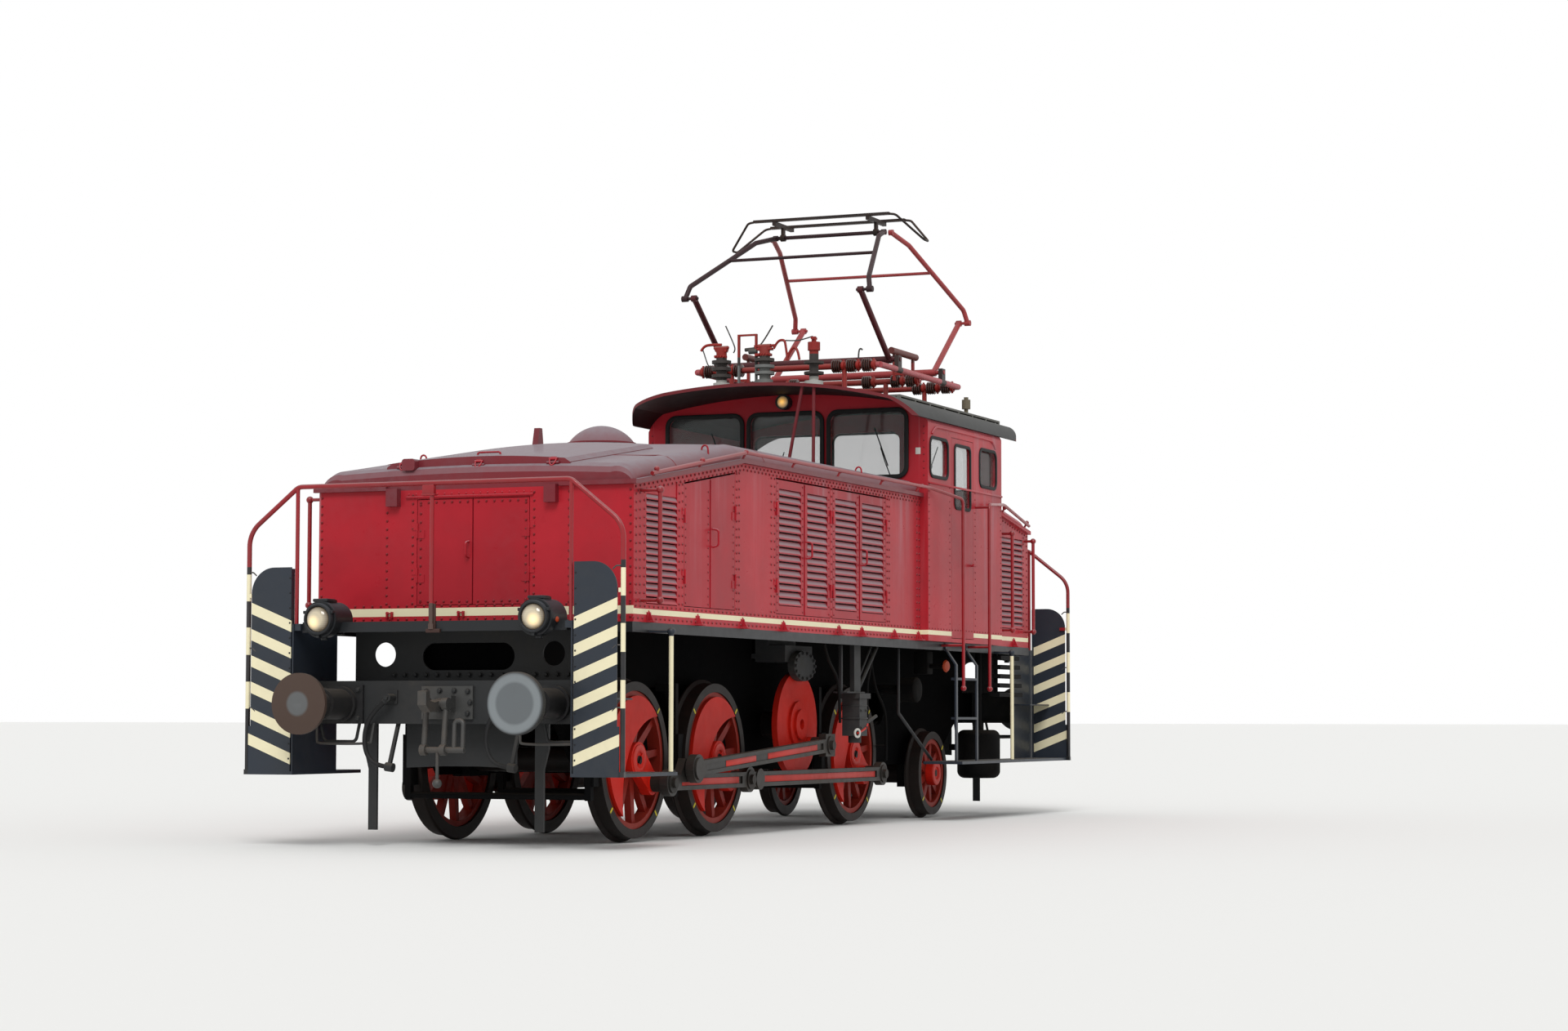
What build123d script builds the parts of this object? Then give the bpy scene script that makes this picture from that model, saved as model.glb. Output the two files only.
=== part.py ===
from build123d import *
import math
import os

# Electric shunting locomotive with three coupled axles, one carrying axle and a jackshaft drive.
# Millimetres. X runs along the locomotive towards the long bonnet, Y to its left side, Z up.
# X = 0 is midway between the buffer faces and Z = 0 is the tip of the wheel flanges.
# Names that end in _H are heights above the top of the rail.

# Running gear
FLANGE_DEPTH = 28
TREAD_D = 1190
CARRY_TREAD_D = 790
AXLE_X = (3465, 1965, -1035)
CARRY_X = -3135
JACK_X = 440
JACK_H = 858
BACK_TO_BACK = 1360
TYRE_WIDTH = 140
AXLE_D = 190
JACK_D = 220
CRANK_RADIUS = 280
CRANK_ANGLE = 218.75
QUARTER_TURN = 90
DISC_D = 880
DISC_Y = 850
DISC_THICKNESS = 50
PIN_D = 110
PIN_GAP = 0.6
BOSS_Y = 862
ROD_Y = 1000
ROD_THICKNESS = 66
ROD_HEIGHT = 120
ROD_FLUTE = 14
EYE_D = 205
DRIVE_ROD_Y = 1083
KNUCKLE_BACK = 302
KNUCKLE_UP = 103
RUNNING_GAP = 0.5
SEAT_GAP = 0.3

# Frame, beams and buffers
LENGTH = 11100
BUFFER_LENGTH = 650
BUFFER_SPACING = 1750
BUFFER_D = 442
BUFFER_DOME = 16
BUFFER_H = 1010
FRAME_Y = 590
FRAME_T = 30
FRAME_LOW_H = 480
FRAME_WINDOW_H = 1000
BEAM_TOP_H = 1180
BEAM_LOW_H = 866
BEAM_HALF = 1128
END_PLATE_X = 4600
END_PLATE_HALF = 950
VALANCE_X = 4700
VALANCE_LOW_H = 545
HOSE_X = 4976
HOSE_D = 34
HOSE_Y = (-470, 530)

# Deck, steps and shields
DECK_H = 1605
DECK_T = 10
DECK_SKIRT = 75
DECK_END_X = 5150
DECK_END_HALF = 1078
STEP_H = 520
STEP_T = 25
STEP_IN_Y = 1130
STEP_OUT_Y = 1507
STEP_END_X = 5189
FRONT_STEP_X = 4202
REAR_STEP_X = -2025
SHIELD_TOP_H = 2010
SHIELD_IN_Y = 1152
SHIELD_T = 8
SHIELD_CORNER = 190

# Bonnets
BODY_Y = 1310
BONNET_END_X = 4545
BONNET_PEAK_X = 2590
BONNET_FRONT_H = 2600
BONNET_TOP_H = 2895
REAR_BONNET_TOP_H = 2880
REAR_BONNET_END_H = 2720
CROWN_RISE = 180
SHOULDER_IN = 190
SHOULDER_UP = 150
NOSE = ((0, 62), (24, 22), (84, 0))
WALL_T = 40
ROOF_T = 24
LID_FRONT_X = 4484
LID_REAR_X = 3050
LID_HALF = 765
LID_LOW = 135
LID_SIDE = 201
LID_CROWN = 234
LID_CLAMPS = (-620, 15, 630)
VENT_X = 1150
VENT_Y = -600
VENT_D = 585
VENT_DRUM = 150
VENT_CAP = 160
GUTTER = 34

# Cab
CAB_FRONT_X = -1464
CAB_REAR_X = -3519
CAB_Y = 1385
CAB_WALL_T = 50
EAVE_H = 3600
EAVE_OUT = 14
ROOF_SHOULDER_Y = 1230
ROOF_SHOULDER_H = 3764
ROOF_TOP_H = 3894
VISOR_FRONT_X = -600
VISOR_REAR_X = -4380
VISOR_STRAIGHT_Y = 839
VISOR_FRONT_SWEEP = 850
VISOR_REAR_SWEEP = 530
CAB_ROOF_T = 30
WINDOW_LOW_H = 3088
WINDOW_TOP_H = 3440
FRONT_WINDOW_TOP_H = 3690

# Doors
DOOR_LOW_H = DECK_H + 135
DOOR_UNDER_GUTTER = 62
DOOR_T = 34
DOOR_GAP = 5
DOOR_TOP_GAP = 14
HINGE_OUT = 8
HINGE_D = 14
HINGE_PIN_D = 7
HINGE_PIN_GAP = 0.3
KNUCKLE = 60
KNUCKLE_TOP = 110
HINGE_LOW = 170
HINGE_HIGH = 290
DOOR_POST = 46
END_DOOR_HALF = 470
END_DOOR_TOP_H = 2530
CAB_DOOR_X = (-2086, -2699)
CAB_DOOR_LOW_H = DECK_H + 35
CAB_DOOR_TOP_H = 3483
CAB_HINGE_IN = 3

# Gear on the cab roof
SWITCH_X = -950
SWITCH_Y = (-417, 8)
SWITCH_TOP_H = 4284
WALK_FRONT_X = -1400
WALK_REAR_X = -4200
WALK_OUT_Y = 1140
WALK_WIDTH = 240
WALK_TOP_H = 3824
WALK_BAYS = 7

# Current collector
MAST_X = -2572
MAST_BEAM_OUT = 1062
BEAM_POST_Y = 560
RIB_D = 112
RIB_LENGTH = 84
SPRING_Y = 740
MAST_PIVOT = 595
MAST_PIVOT_H = 4210
MAST_HALF = 908
LOWER_ARM_Y = 822
LOWER_ARM = 925
UPPER_ARM = 1490
LOWER_ANGLE = 37.2
APEX_OFFSET = 30
APEX_HALF = 553
ARM_D = 46
KNEE_PIN_D = 28
SHOE_SPACING = 420
SHOE_HALF = 690
SHOE_ABOVE = 150
HORN_HALF = 980
HORN_DROP = 255

os.makedirs("parts", exist_ok=True)


def up(height):
    return height + FLANGE_DEPTH


def block(x0, x1, y0, y1, z0, z1):
    size = (abs(x1 - x0), abs(y1 - y0), abs(z1 - z0))
    return Pos((x0 + x1) / 2, (y0 + y1) / 2, (z0 + z1) / 2) * Box(*size)


def post(start, end, diameter):
    axis = Vector(*end) - Vector(*start)
    base = Plane(origin=start, z_dir=axis)
    return base * Cylinder(diameter / 2, axis.length, align=(Align.CENTER, Align.CENTER, Align.MIN))


def across(x, z, diameter, y0, y1):
    return post((x, min(y0, y1), z), (x, max(y0, y1), z), diameter)


def side_plate(points, y0, y1):
    # a flat outline in X and Z, thick from y0 to y1
    face = make_face(Polyline(*[(x, 0, z) for x, z in points], close=True))
    return Pos(0, min(y0, y1), 0) * extrude(face, abs(y1 - y0), dir=(0, 1, 0))


def cross_plate(points, x0, x1):
    # a flat outline in Y and Z, thick from x0 to x1
    face = make_face(Polyline(*[(0, y, z) for y, z in points], close=True))
    return Pos(min(x0, x1), 0, 0) * extrude(face, abs(x1 - x0), dir=(1, 0, 0))


def tube(points, diameter, radii):
    path = FilletPolyline(*points, radius=radii)
    section = Plane(origin=path @ 0, z_dir=path % 0) * Circle(diameter / 2)
    return sweep(section, path=path)


def other_side(shape):
    return shape.mirror(Plane.XZ)


def both_sides(shape):
    return [shape, other_side(shape)]


def join(shapes):
    whole = shapes[0]
    return whole.fuse(*shapes[1:]) if len(shapes) > 1 else whole


def save(name, *shapes):
    solids = []
    for shape in shapes:
        solids.extend(shape.solids())
    export_step(Compound(solids) if len(solids) > 1 else solids[0], "parts/" + name + ".step")


# Wheels, built about their own centre on the +Y side

def direction(angle):
    return math.cos(math.radians(angle)), math.sin(math.radians(angle))


def wheel_ring(radius):
    back = BACK_TO_BACK / 2
    face = back + TYRE_WIDTH
    tyre = radius - 72
    rim = radius - 116
    profile = [(rim, back + 22), (tyre, back + 22), (tyre, back), (radius + 16, back),
               (radius + FLANGE_DEPTH, back + 12), (radius + FLANGE_DEPTH, back + 24),
               (radius, back + 40), (radius - 4, face), (tyre, face), (tyre, face - 14),
               (rim, face - 14)]
    outline = make_face(Polyline(*[(r, y, 0) for r, y in profile], close=True))
    return revolve(outline, Axis.Y, 360)


def spoke(radius, angle, root, width_root, width_rim):
    reach = radius - 106
    points = [(root, -width_root / 2), (reach, -width_rim / 2), (reach, width_rim / 2), (root, width_root / 2)]
    middle = (BACK_TO_BACK + TYRE_WIDTH) / 2
    return Rot(0, -angle, 0) * side_plate(points, middle - 26, middle + 30)


def crescent(radius, angle):
    dx, dz = direction(angle)
    outer = across(0, 0, 2 * (radius - 110), BOSS_Y - 72, BOSS_Y - 24)
    hollow_r = radius * 1.05
    shift = hollow_r - 150
    hollow = across(dx * shift, dz * shift, 2 * hollow_r, BOSS_Y - 90, BOSS_Y)
    return outer - hollow


def wheel(tread, spokes, angle=None):
    radius = tread / 2
    hub_d = 270 if angle is not None else 230
    inner = BACK_TO_BACK / 2 - 4
    parts = [wheel_ring(radius), across(0, 0, hub_d, inner, BOSS_Y - 10)]
    step = 360 / spokes
    start = 0 if angle is None else angle
    for i in range(spokes):
        parts.append(spoke(radius, start + (i + 0.5) * step, hub_d / 2 - 20, 74, 48))
    if angle is not None:
        parts.append(crescent(radius, angle))
        dx, dz = direction(angle)
        parts.append(across(dx * CRANK_RADIUS, dz * CRANK_RADIUS, 190, inner + 60, BOSS_Y))
        web = side_plate([(0, -100), (CRANK_RADIUS, -85), (CRANK_RADIUS, 85), (0, 100)], inner + 60, BOSS_Y)
        parts.append(Rot(0, -angle, 0) * web)
        parts.append(crank_pin(angle, BOSS_Y - 10, ROD_Y))
    return join(parts)


def crank_pin(angle, start, rod_y):
    # a pin that stands out through the rod's eye, with its washer and nut outside the eye
    dx, dz = direction(angle)
    x, z = dx * CRANK_RADIUS, dz * CRANK_RADIUS
    outside = rod_y + ROD_THICKNESS / 2 + RUNNING_GAP
    inside = rod_y - ROD_THICKNESS / 2 - RUNNING_GAP
    pin = across(x, z, PIN_D, start, outside)
    collar = across(x, z, PIN_D + 30, start, inside)
    washer = across(x, z, PIN_D + 46, outside, outside + 10)
    nut = across(x, z, 78, outside + 10, outside + 34)
    return join([pin, collar, washer, nut])


def wheelset(tread, spokes, angle=None):
    left = wheel(tread, spokes, angle)
    far = None if angle is None else angle + QUARTER_TURN
    right = other_side(wheel(tread, spokes, far))
    seat = BACK_TO_BACK / 2 - 4 - SEAT_GAP
    return [left, across(0, 0, AXLE_D, -seat, seat), right]


def jackshaft():
    parts = [across(0, 0, JACK_D, -DISC_Y + SEAT_GAP, DISC_Y - SEAT_GAP)]
    for side, angle in ((1, CRANK_ANGLE), (-1, CRANK_ANGLE + QUARTER_TURN)):
        disc = across(0, 0, DISC_D, DISC_Y, DISC_Y + DISC_THICKNESS)
        ring = across(0, 0, 390, DISC_Y + 10, DISC_Y + DISC_THICKNESS + 22)
        boss = across(0, 0, 250, DISC_Y + 10, DISC_Y + DISC_THICKNESS + 44)
        bore = across(0, 0, 90, DISC_Y + DISC_THICKNESS + 10, DISC_Y + DISC_THICKNESS + 60)
        pin = crank_pin(angle, DISC_Y + 10, DRIVE_ROD_Y)
        web = join([disc, ring, boss, pin]) - bore
        parts.append(web if side > 0 else other_side(web))
    return parts


for index, x in enumerate(AXLE_X):
    place = Pos(x, 0, up(TREAD_D / 2))
    save("wheelset_%d" % (index + 1), *[place * piece for piece in wheelset(TREAD_D, 12, CRANK_ANGLE)])
save("wheelset_carrying", *[Pos(CARRY_X, 0, up(CARRY_TREAD_D / 2)) * piece for piece in wheelset(CARRY_TREAD_D, 9)])
save("jackshaft", *[Pos(JACK_X, 0, up(JACK_H)) * piece for piece in jackshaft()])


# Coupling and drive rods, at rest, on the left side for a given crank angle

def rod_bar(start, end, y, height):
    # a fluted bar between two points in the plane of the rods
    length = math.dist(start, end)
    angle = math.degrees(math.atan2(end[1] - start[1], end[0] - start[0]))
    half = ROD_THICKNESS / 2
    bar = block(0, length, -half, half, -height / 2, height / 2)
    inset = EYE_D / 2 + 60
    flute = block(inset, length - inset, half - ROD_FLUTE, half + 1, -height * 0.24, height * 0.24)
    bar = bar - flute - other_side(flute)
    return Pos(start[0], y, start[1]) * Rot(0, -angle, 0) * bar


def eye(point, y, diameter):
    half = ROD_THICKNESS / 2
    return across(point[0], point[1], diameter, y - half, y + half)


def pin_hole(point, y):
    return across(point[0], point[1], PIN_D + 2 * PIN_GAP, y - ROD_THICKNESS, y + ROD_THICKNESS)


def rods(angle):
    dx, dz = direction(angle)
    dx, dz = dx * CRANK_RADIUS, dz * CRANK_RADIUS
    pins = [(x + dx, up(TREAD_D / 2) + dz) for x in AXLE_X]
    knuckle = (pins[0][0] - KNUCKLE_BACK, pins[0][1] + KNUCKLE_UP)
    jack_pin = (JACK_X + dx, up(JACK_H) + dz)
    parts = [rod_bar(pins[1], pins[0], ROD_Y, ROD_HEIGHT), rod_bar(pins[2], pins[1], ROD_Y, ROD_HEIGHT)]
    parts += [eye(pin, ROD_Y, EYE_D) for pin in pins]
    half = ROD_THICKNESS / 2
    joint_x, joint_z = pins[1][0] - 190, pins[1][1]
    parts.append(across(joint_x, joint_z, 170, ROD_Y - half - 8, ROD_Y + half + 8))
    lug = [(knuckle[0] - 150, pins[0][1]), (knuckle[0] - 90, knuckle[1] + 40), (knuckle[0] + 60, knuckle[1] + 80),
           (knuckle[0] + 200, pins[0][1])]
    parts.append(side_plate(lug, ROD_Y - half, ROD_Y + half))
    parts.append(across(knuckle[0], knuckle[1], 130, ROD_Y, DRIVE_ROD_Y))
    parts.append(across(knuckle[0], knuckle[1], 170, DRIVE_ROD_Y, DRIVE_ROD_Y + half + 14))
    parts.append(eye(knuckle, DRIVE_ROD_Y, EYE_D + 15))
    parts.append(rod_bar(jack_pin, knuckle, DRIVE_ROD_Y, ROD_HEIGHT - 6))
    big_end = block(jack_pin[0] - 105, jack_pin[0] + 105, DRIVE_ROD_Y - half, DRIVE_ROD_Y + half,
                    jack_pin[1] - 95, jack_pin[1] + 95)
    parts.append(big_end)
    body = join(parts)
    for pin in pins:
        body = body - pin_hole(pin, ROD_Y)
    return body - pin_hole(jack_pin, DRIVE_ROD_Y)


save("rods_left", rods(CRANK_ANGLE))
save("rods_right", other_side(rods(CRANK_ANGLE + QUARTER_TURN)))


# Main frame: two plates cut for the axle boxes, tied by stretchers

AXLES = [(x, TREAD_D / 2) for x in AXLE_X] + [(CARRY_X, CARRY_TREAD_D / 2)]
BEAM_X = LENGTH / 2 - BUFFER_LENGTH
SLOT_HALF = 160


def frame_plate():
    ends = BEAM_X - 20
    low, top = up(BEAM_LOW_H + 16), up(BEAM_TOP_H - 16)
    step_x = END_PLATE_X - 16
    outline = [(-ends, low), (-ends + 500, low), (CARRY_X - 600, up(FRAME_LOW_H)), (AXLE_X[0] + 520, up(FRAME_LOW_H)),
               (ends - 500, low), (ends, low), (ends, top), (step_x, top), (step_x, up(DECK_H - DECK_T)),
               (-step_x, up(DECK_H - DECK_T)), (-step_x, top), (-ends, top)]
    plate = side_plate(outline, FRAME_Y - FRAME_T / 2, FRAME_Y + FRAME_T / 2)
    for x, height in AXLES:
        plate = plate - block(x - SLOT_HALF, x + SLOT_HALF, 0, 900, 0, up(height + 190))
    plate = plate - across(JACK_X, up(JACK_H), JACK_D + 8, 0, 900)
    for x in (2715, -350, -2100):
        window = Pos(x, 700, up(FRAME_WINDOW_H)) * Rot(90, 0, 0) * extrude(SlotOverall(560, 300), 300)
        plate = plate - window
    return plate


def axle_box(x, height):
    # a box that slides between the slot's edges, bored for the axle
    half = SLOT_HALF
    box = block(x - half, x + half, FRAME_Y - 75, FRAME_Y + 65, up(height - 130), up(height + 150))
    return box - across(x, up(height), AXLE_D + 2 * PIN_GAP, 0, 900)


def leaf_spring(x, height):
    # spring leaves over the box, in the frame's plane but inside the plates
    leaves = []
    for i in range(4):
        reach = 430 - i * 95
        z = up(height + 215 + i * 16)
        leaves.append(block(x - reach, x + reach, FRAME_Y - 95, FRAME_Y - 25, z, z + 16))
    buckle = block(x - 50, x + 50, FRAME_Y - 95, FRAME_Y - 25, up(height + 150), up(height + 290))
    return join(leaves + [buckle])


def main_frame():
    parts = both_sides(frame_plate())
    inner = FRAME_Y - FRAME_T / 2
    stretchers = ((4480, 900, 1500), (2715, 1240, 1500), (1180, 1150, 1500), (-240, 1150, 1500),
                  (-2080, 1240, 1500), (-4480, 900, 1500))
    for x, low, high in stretchers:
        parts.append(block(x - 10, x + 10, -inner, inner, up(low), up(high)))
    for x in (2715, -2080):
        parts.append(across(x, up(620), 90, -inner, inner))
    return join(parts)


save("main_frame", main_frame())
boxes = []
for x, height in AXLES:
    boxes += both_sides(join([axle_box(x, height), leaf_spring(x, height)]))
save("axle_boxes", *boxes)


# Buffer beams with the end plate, rail guards and grips

def slot_hole(y, z, width, height, x):
    if width > height:
        sketch = SlotOverall(width, height)
    else:
        sketch = Circle(width / 2)
    return Plane(origin=(x - 60, y, z), x_dir=(0, 1, 0), z_dir=(1, 0, 0)) * extrude(sketch, 120)


def beam():
    low, top = up(BEAM_LOW_H), up(BEAM_TOP_H)
    face = block(BEAM_X - 20, BEAM_X, -BEAM_HALF, BEAM_HALF, low, top)
    shelf = block(END_PLATE_X - 16, BEAM_X - 20, -END_PLATE_HALF, END_PLATE_HALF, top - 16, top)
    lip = block(BEAM_X - 130, BEAM_X - 20, -BEAM_HALF, BEAM_HALF, low, low + 16)
    lip_top = block(BEAM_X - 130, BEAM_X - 20, -BEAM_HALF, BEAM_HALF, top - 16, top)
    plate = block(END_PLATE_X - 16, END_PLATE_X, -END_PLATE_HALF, END_PLATE_HALF, top - 16, up(DECK_H - DECK_T))
    plate = plate - slot_hole(0, up(1360), 760, 200, END_PLATE_X)
    parts = [face, shelf, lip, lip_top]
    for y in (-700, 700):
        plate = plate - slot_hole(y, up(1378), 180, 180, END_PLATE_X)
    parts.append(plate)
    for side in (1, -1):
        guard = cross_plate([(650, low), (760, low), (760, low - 180), (720, low - 330), (720, up(90)), (650, up(90)),
                             (650, low - 330), (650, low)], BEAM_X - 130, BEAM_X - 106)
        grip = tube([(BEAM_X - 40, 760, low + 6), (BEAM_X - 40, 790, low - 130), (BEAM_X - 40, 1060, low - 130),
                     (BEAM_X - 40, 1090, low + 6)], 24, 40)
        parts += [guard, grip] if side > 0 else [other_side(guard), other_side(grip)]
        parts.append(block(VALANCE_X - 60, BEAM_X - 20, side * 560 - 30, side * 560 + 30, low, low + 16))
    valance = cross_plate([(-455, low + 16), (-455, up(VALANCE_LOW_H)), (-150, up(VALANCE_LOW_H + 12)),
                           (150, up(VALANCE_LOW_H + 12)), (455, up(VALANCE_LOW_H)), (455, low + 16)],
                          VALANCE_X - 10, VALANCE_X)
    shelf_low = block(VALANCE_X - 10, BEAM_X - 20, -590, 590, low, low + 16)
    parts += [valance, shelf_low]
    for y in HOSE_Y:
        parts.append(hose_cock(y))
        parts.append(hose_hanger(y))
    return join(parts)


# Brake hoses: route in the plane x = HOSE_X, as (y from the cock, height above the rail)
HOSE_ROUTE = ((-20, 1026), (-110, 952), (-170, 850), (-185, 735), (-158, 632), (-90, 568), (0, 556))


def hose_points(y):
    return [(HOSE_X, y + dy, up(height)) for dy, height in HOSE_ROUTE]


def hose_cock(y):
    # plate on the beam, cock body and the nozzle that the hose is clamped on
    start, after = [Vector(*point) for point in hose_points(y)[:2]]
    back = start + (start - after).normalized() * 46
    plate = block(BEAM_X, BEAM_X + 12, y - 52, y + 52, up(1012), up(1112))
    body = post((BEAM_X, back.Y, back.Z), (HOSE_X + 26, back.Y, back.Z), 58)
    nozzle = post(tuple(back), tuple(start), 44)
    key = post((HOSE_X + 20, back.Y, back.Z), (HOSE_X + 44, back.Y, back.Z), 26)
    return join([plate, body, nozzle, key])


def hose_hanger(y):
    # strap under the beam with the blind coupling that holds the hose's free end
    before, tip = [Vector(*point) for point in hose_points(y)[-2:]]
    along = (tip - before).normalized()
    end = tuple(tip)
    low = up(BEAM_LOW_H)
    strap = side_plate([(BEAM_X - 60, low + 10), (BEAM_X - 36, low + 10), (HOSE_X + 12, end[2] + 26),
                        (HOSE_X + 12, end[2] - 10), (HOSE_X - 12, end[2] - 10), (HOSE_X - 12, end[2] + 20)],
                       end[1] + 20, end[1] + 46)
    head = post(tuple(tip + along * SEAT_GAP), tuple(tip + along * 62), 66)
    return join([strap, head])


def hose_radii(points):
    # each corner's arc is as large as its two runs allow
    radii = []
    for before, corner, after in zip(points, points[1:], points[2:]):
        first = Vector(*corner) - Vector(*before)
        second = Vector(*after) - Vector(*corner)
        half_turn = math.radians(first.get_angle(second)) / 2
        radii.append(0.45 * min(first.length, second.length) / math.tan(half_turn))
    return radii


front_beam = beam()
save("beam_front", front_beam)
save("beam_rear", front_beam.rotate(Axis.Z, 180))

for name, y in zip(("right", "left"), HOSE_Y):
    points = hose_points(y)
    radii = hose_radii(points)
    print("hose radii", [round(radius) for radius in radii])
    hose = tube(points, HOSE_D, radii)
    save("hose_front_" + name, hose)
    save("hose_rear_" + name, hose.rotate(Axis.Z, 180))


def buffer(side, dome_rise):
    # sleeve, plunger and head; the head is flat where dome_rise is zero
    z = up(BUFFER_H)
    y = side * BUFFER_SPACING / 2
    tip = LENGTH / 2
    flange = block(BEAM_X, BEAM_X + 24, y - 175, y + 175, z - 140, z + 140)
    sleeve = post((BEAM_X + 20, y, z), (BEAM_X + 330, y, z), 225)
    collar = post((BEAM_X + 20, y, z), (BEAM_X + 60, y, z), 262)
    plunger = post((BEAM_X + 300, y, z), (tip - 30, y, z), 178)
    r = BUFFER_D / 2
    if dome_rise > 0:
        dome_r = (r * r + dome_rise ** 2) / (2 * dome_rise)
        face = CenterArc((tip - dome_r, 0, 0), dome_r, 0, math.degrees(math.asin(r / dome_r)))
    else:
        face = Polyline((tip, 0, 0), (tip, r - 8, 0), (tip - 8, r, 0))
    rest = Polyline(face @ 1, (tip - 46, r, 0), (tip - 90, 120, 0), (tip - 90, 0, 0), (tip, 0, 0))
    head = Pos(0, y, z) * revolve(make_face([face, rest]), Axis.X, 360)
    return join([flange, collar, sleeve, plunger, head])


buffers = [buffer(1, 0), buffer(-1, BUFFER_DOME)]
save("buffers_front", *buffers)
save("buffers_rear", *[shape.rotate(Axis.Z, 180) for shape in buffers])


def draw_gear():
    # draw plate, hook and hanging screw coupling
    z = up(BUFFER_H)
    plate = block(BEAM_X, BEAM_X + 22, -210, 210, z - 110, z + 130)
    guide = block(BEAM_X + 20, BEAM_X + 90, -70, 70, z - 60, z + 60)
    hook_face = [(BEAM_X + 60, z - 45), (BEAM_X + 330, z - 60), (BEAM_X + 395, z - 10), (BEAM_X + 395, z + 90),
                 (BEAM_X + 345, z + 95), (BEAM_X + 330, z + 20), (BEAM_X + 270, z + 10), (BEAM_X + 60, z + 45)]
    hook = side_plate(hook_face, -35, 35)
    pin = across(BEAM_X + 180, z, 60, -95, 95)
    parts = [plate, guide, hook, pin]
    for y in (-80, 80):
        parts.append(post((BEAM_X + 180, y, z), (BEAM_X + 215, y, z - 330), 42))
        parts.append(across(BEAM_X + 180, z, 90, y - 22, y + 22))
        parts.append(across(BEAM_X + 215, z - 330, 80, y - 22, y + 22))
    parts.append(across(BEAM_X + 215, z - 330, 44, -105, 250))
    bow = tube([(BEAM_X + 215, 165, z - 330), (BEAM_X + 205, 165, z - 120), (BEAM_X + 205, 235, z - 120),
                (BEAM_X + 215, 235, z - 330)], 34, 30)
    parts.append(bow)
    parts.append(post((BEAM_X + 215, 30, z - 330), (BEAM_X + 215, 30, z - 560), 24))
    parts.append(Pos(BEAM_X + 215, 30, z - 570) * Sphere(34))
    return join(parts)


front_gear = draw_gear()
save("draw_gear_front", front_gear)
save("draw_gear_rear", front_gear.rotate(Axis.Z, 180))


# Deck with its skirt, and the platforms at both ends

def deck():
    top = up(DECK_H)
    low = top - DECK_SKIRT
    plate = block(-BONNET_END_X - 15, BONNET_END_X + 15, -BODY_Y, BODY_Y, top - DECK_T, top)
    ends = block(-DECK_END_X, DECK_END_X, -DECK_END_HALF, DECK_END_HALF, top - DECK_T, top)
    body = plate + ends
    long_skirt = block(-BONNET_END_X - 15, BONNET_END_X + 15, BODY_Y - 12, BODY_Y, low, top)
    end_skirt = block(DECK_END_X - 12, DECK_END_X, -DECK_END_HALF, DECK_END_HALF, low, top)
    corner = block(BONNET_END_X + 3, BONNET_END_X + 15, DECK_END_HALF - 10, BODY_Y, low, top)
    stringer = block(END_PLATE_X, DECK_END_X - 12, DECK_END_HALF - 12, DECK_END_HALF, low, top - 5)
    quarter = join([long_skirt, corner, stringer])
    parts = [body] + both_sides(quarter)
    parts += [end_skirt, end_skirt.rotate(Axis.Z, 180)]
    parts += [shape.rotate(Axis.Z, 180) for shape in both_sides(join([corner, stringer]))]
    return join(parts)


save("deck", deck())


# Steps at the four corners: tread plate, inner plate and the upright shield

def shield():
    low, top = up(STEP_H - 8), up(SHIELD_TOP_H)
    y0, y1 = SHIELD_IN_Y, STEP_OUT_Y - 18
    flat = block(STEP_END_X - SHIELD_T, STEP_END_X, y0, y1, low, top)
    edges = [e for e in flat.edges().filter_by(Axis.X) if e.center().Y > y1 - 1 and e.center().Z > top - 1]
    flat = fillet(edges, SHIELD_CORNER)
    foot = block(STEP_END_X - SHIELD_T, STEP_END_X, y0, STEP_OUT_Y, low, up(STEP_H + 330))
    rib = block(STEP_END_X - SHIELD_T - 40, STEP_END_X - SHIELD_T + 1, y0, y0 + 10, low, top - 10)
    return join([flat, foot, rib])


def step_end(tread_x):
    tread = block(tread_x, STEP_END_X, STEP_IN_Y, STEP_OUT_Y, up(STEP_H - STEP_T), up(STEP_H))
    inner = block(BONNET_END_X + 20, STEP_END_X, STEP_IN_Y, STEP_IN_Y + 10, up(STEP_H - STEP_T), up(DECK_H - DECK_T))
    tie = block(STEP_END_X - 60, STEP_END_X - 10, DECK_END_HALF, STEP_IN_Y + 2, up(DECK_H - 60), up(DECK_H - DECK_T))
    mid = block(BONNET_END_X + 30, STEP_END_X - 5, STEP_IN_Y, STEP_IN_Y + 190, up(1040), up(1052))
    return join([tread, inner, tie, mid, shield()])


def pole(x, top_h):
    # plain pole with a ball on top, from the tread up to an arm on the deck's skirt
    z = up(top_h)
    stem = post((x, STEP_OUT_Y - 22, up(STEP_H - 2)), (x, STEP_OUT_Y - 22, z), 34)
    ball = Pos(x, STEP_OUT_Y - 22, z + 8) * Sphere(30)
    arm = across(x, z + 8, 22, BODY_Y, STEP_OUT_Y - 22)
    return join([stem, ball, arm])


def ladder():
    x0, x1 = CAB_DOOR_X
    bars = []
    for x in (x0 - 23, x1 + 22):
        bars.append(block(x - 22, x + 22, 1412, 1428, up(STEP_H - 2), up(1400)))
        lean = cross_plate([(1412, up(1400)), (1428, up(1400)), (BODY_Y + 16, up(DECK_H - 60)),
                            (BODY_Y + 16, up(DECK_H - 10)), (BODY_Y, up(DECK_H - 10)), (BODY_Y, up(DECK_H - 60))],
                           x - 22, x + 22)
        bars.append(lean)
    for height in (900, 1260):
        bars.append(block(x1 + 22, x0 - 23, 1370, 1428, up(height), up(height + 22)))
    return join(bars)


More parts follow.
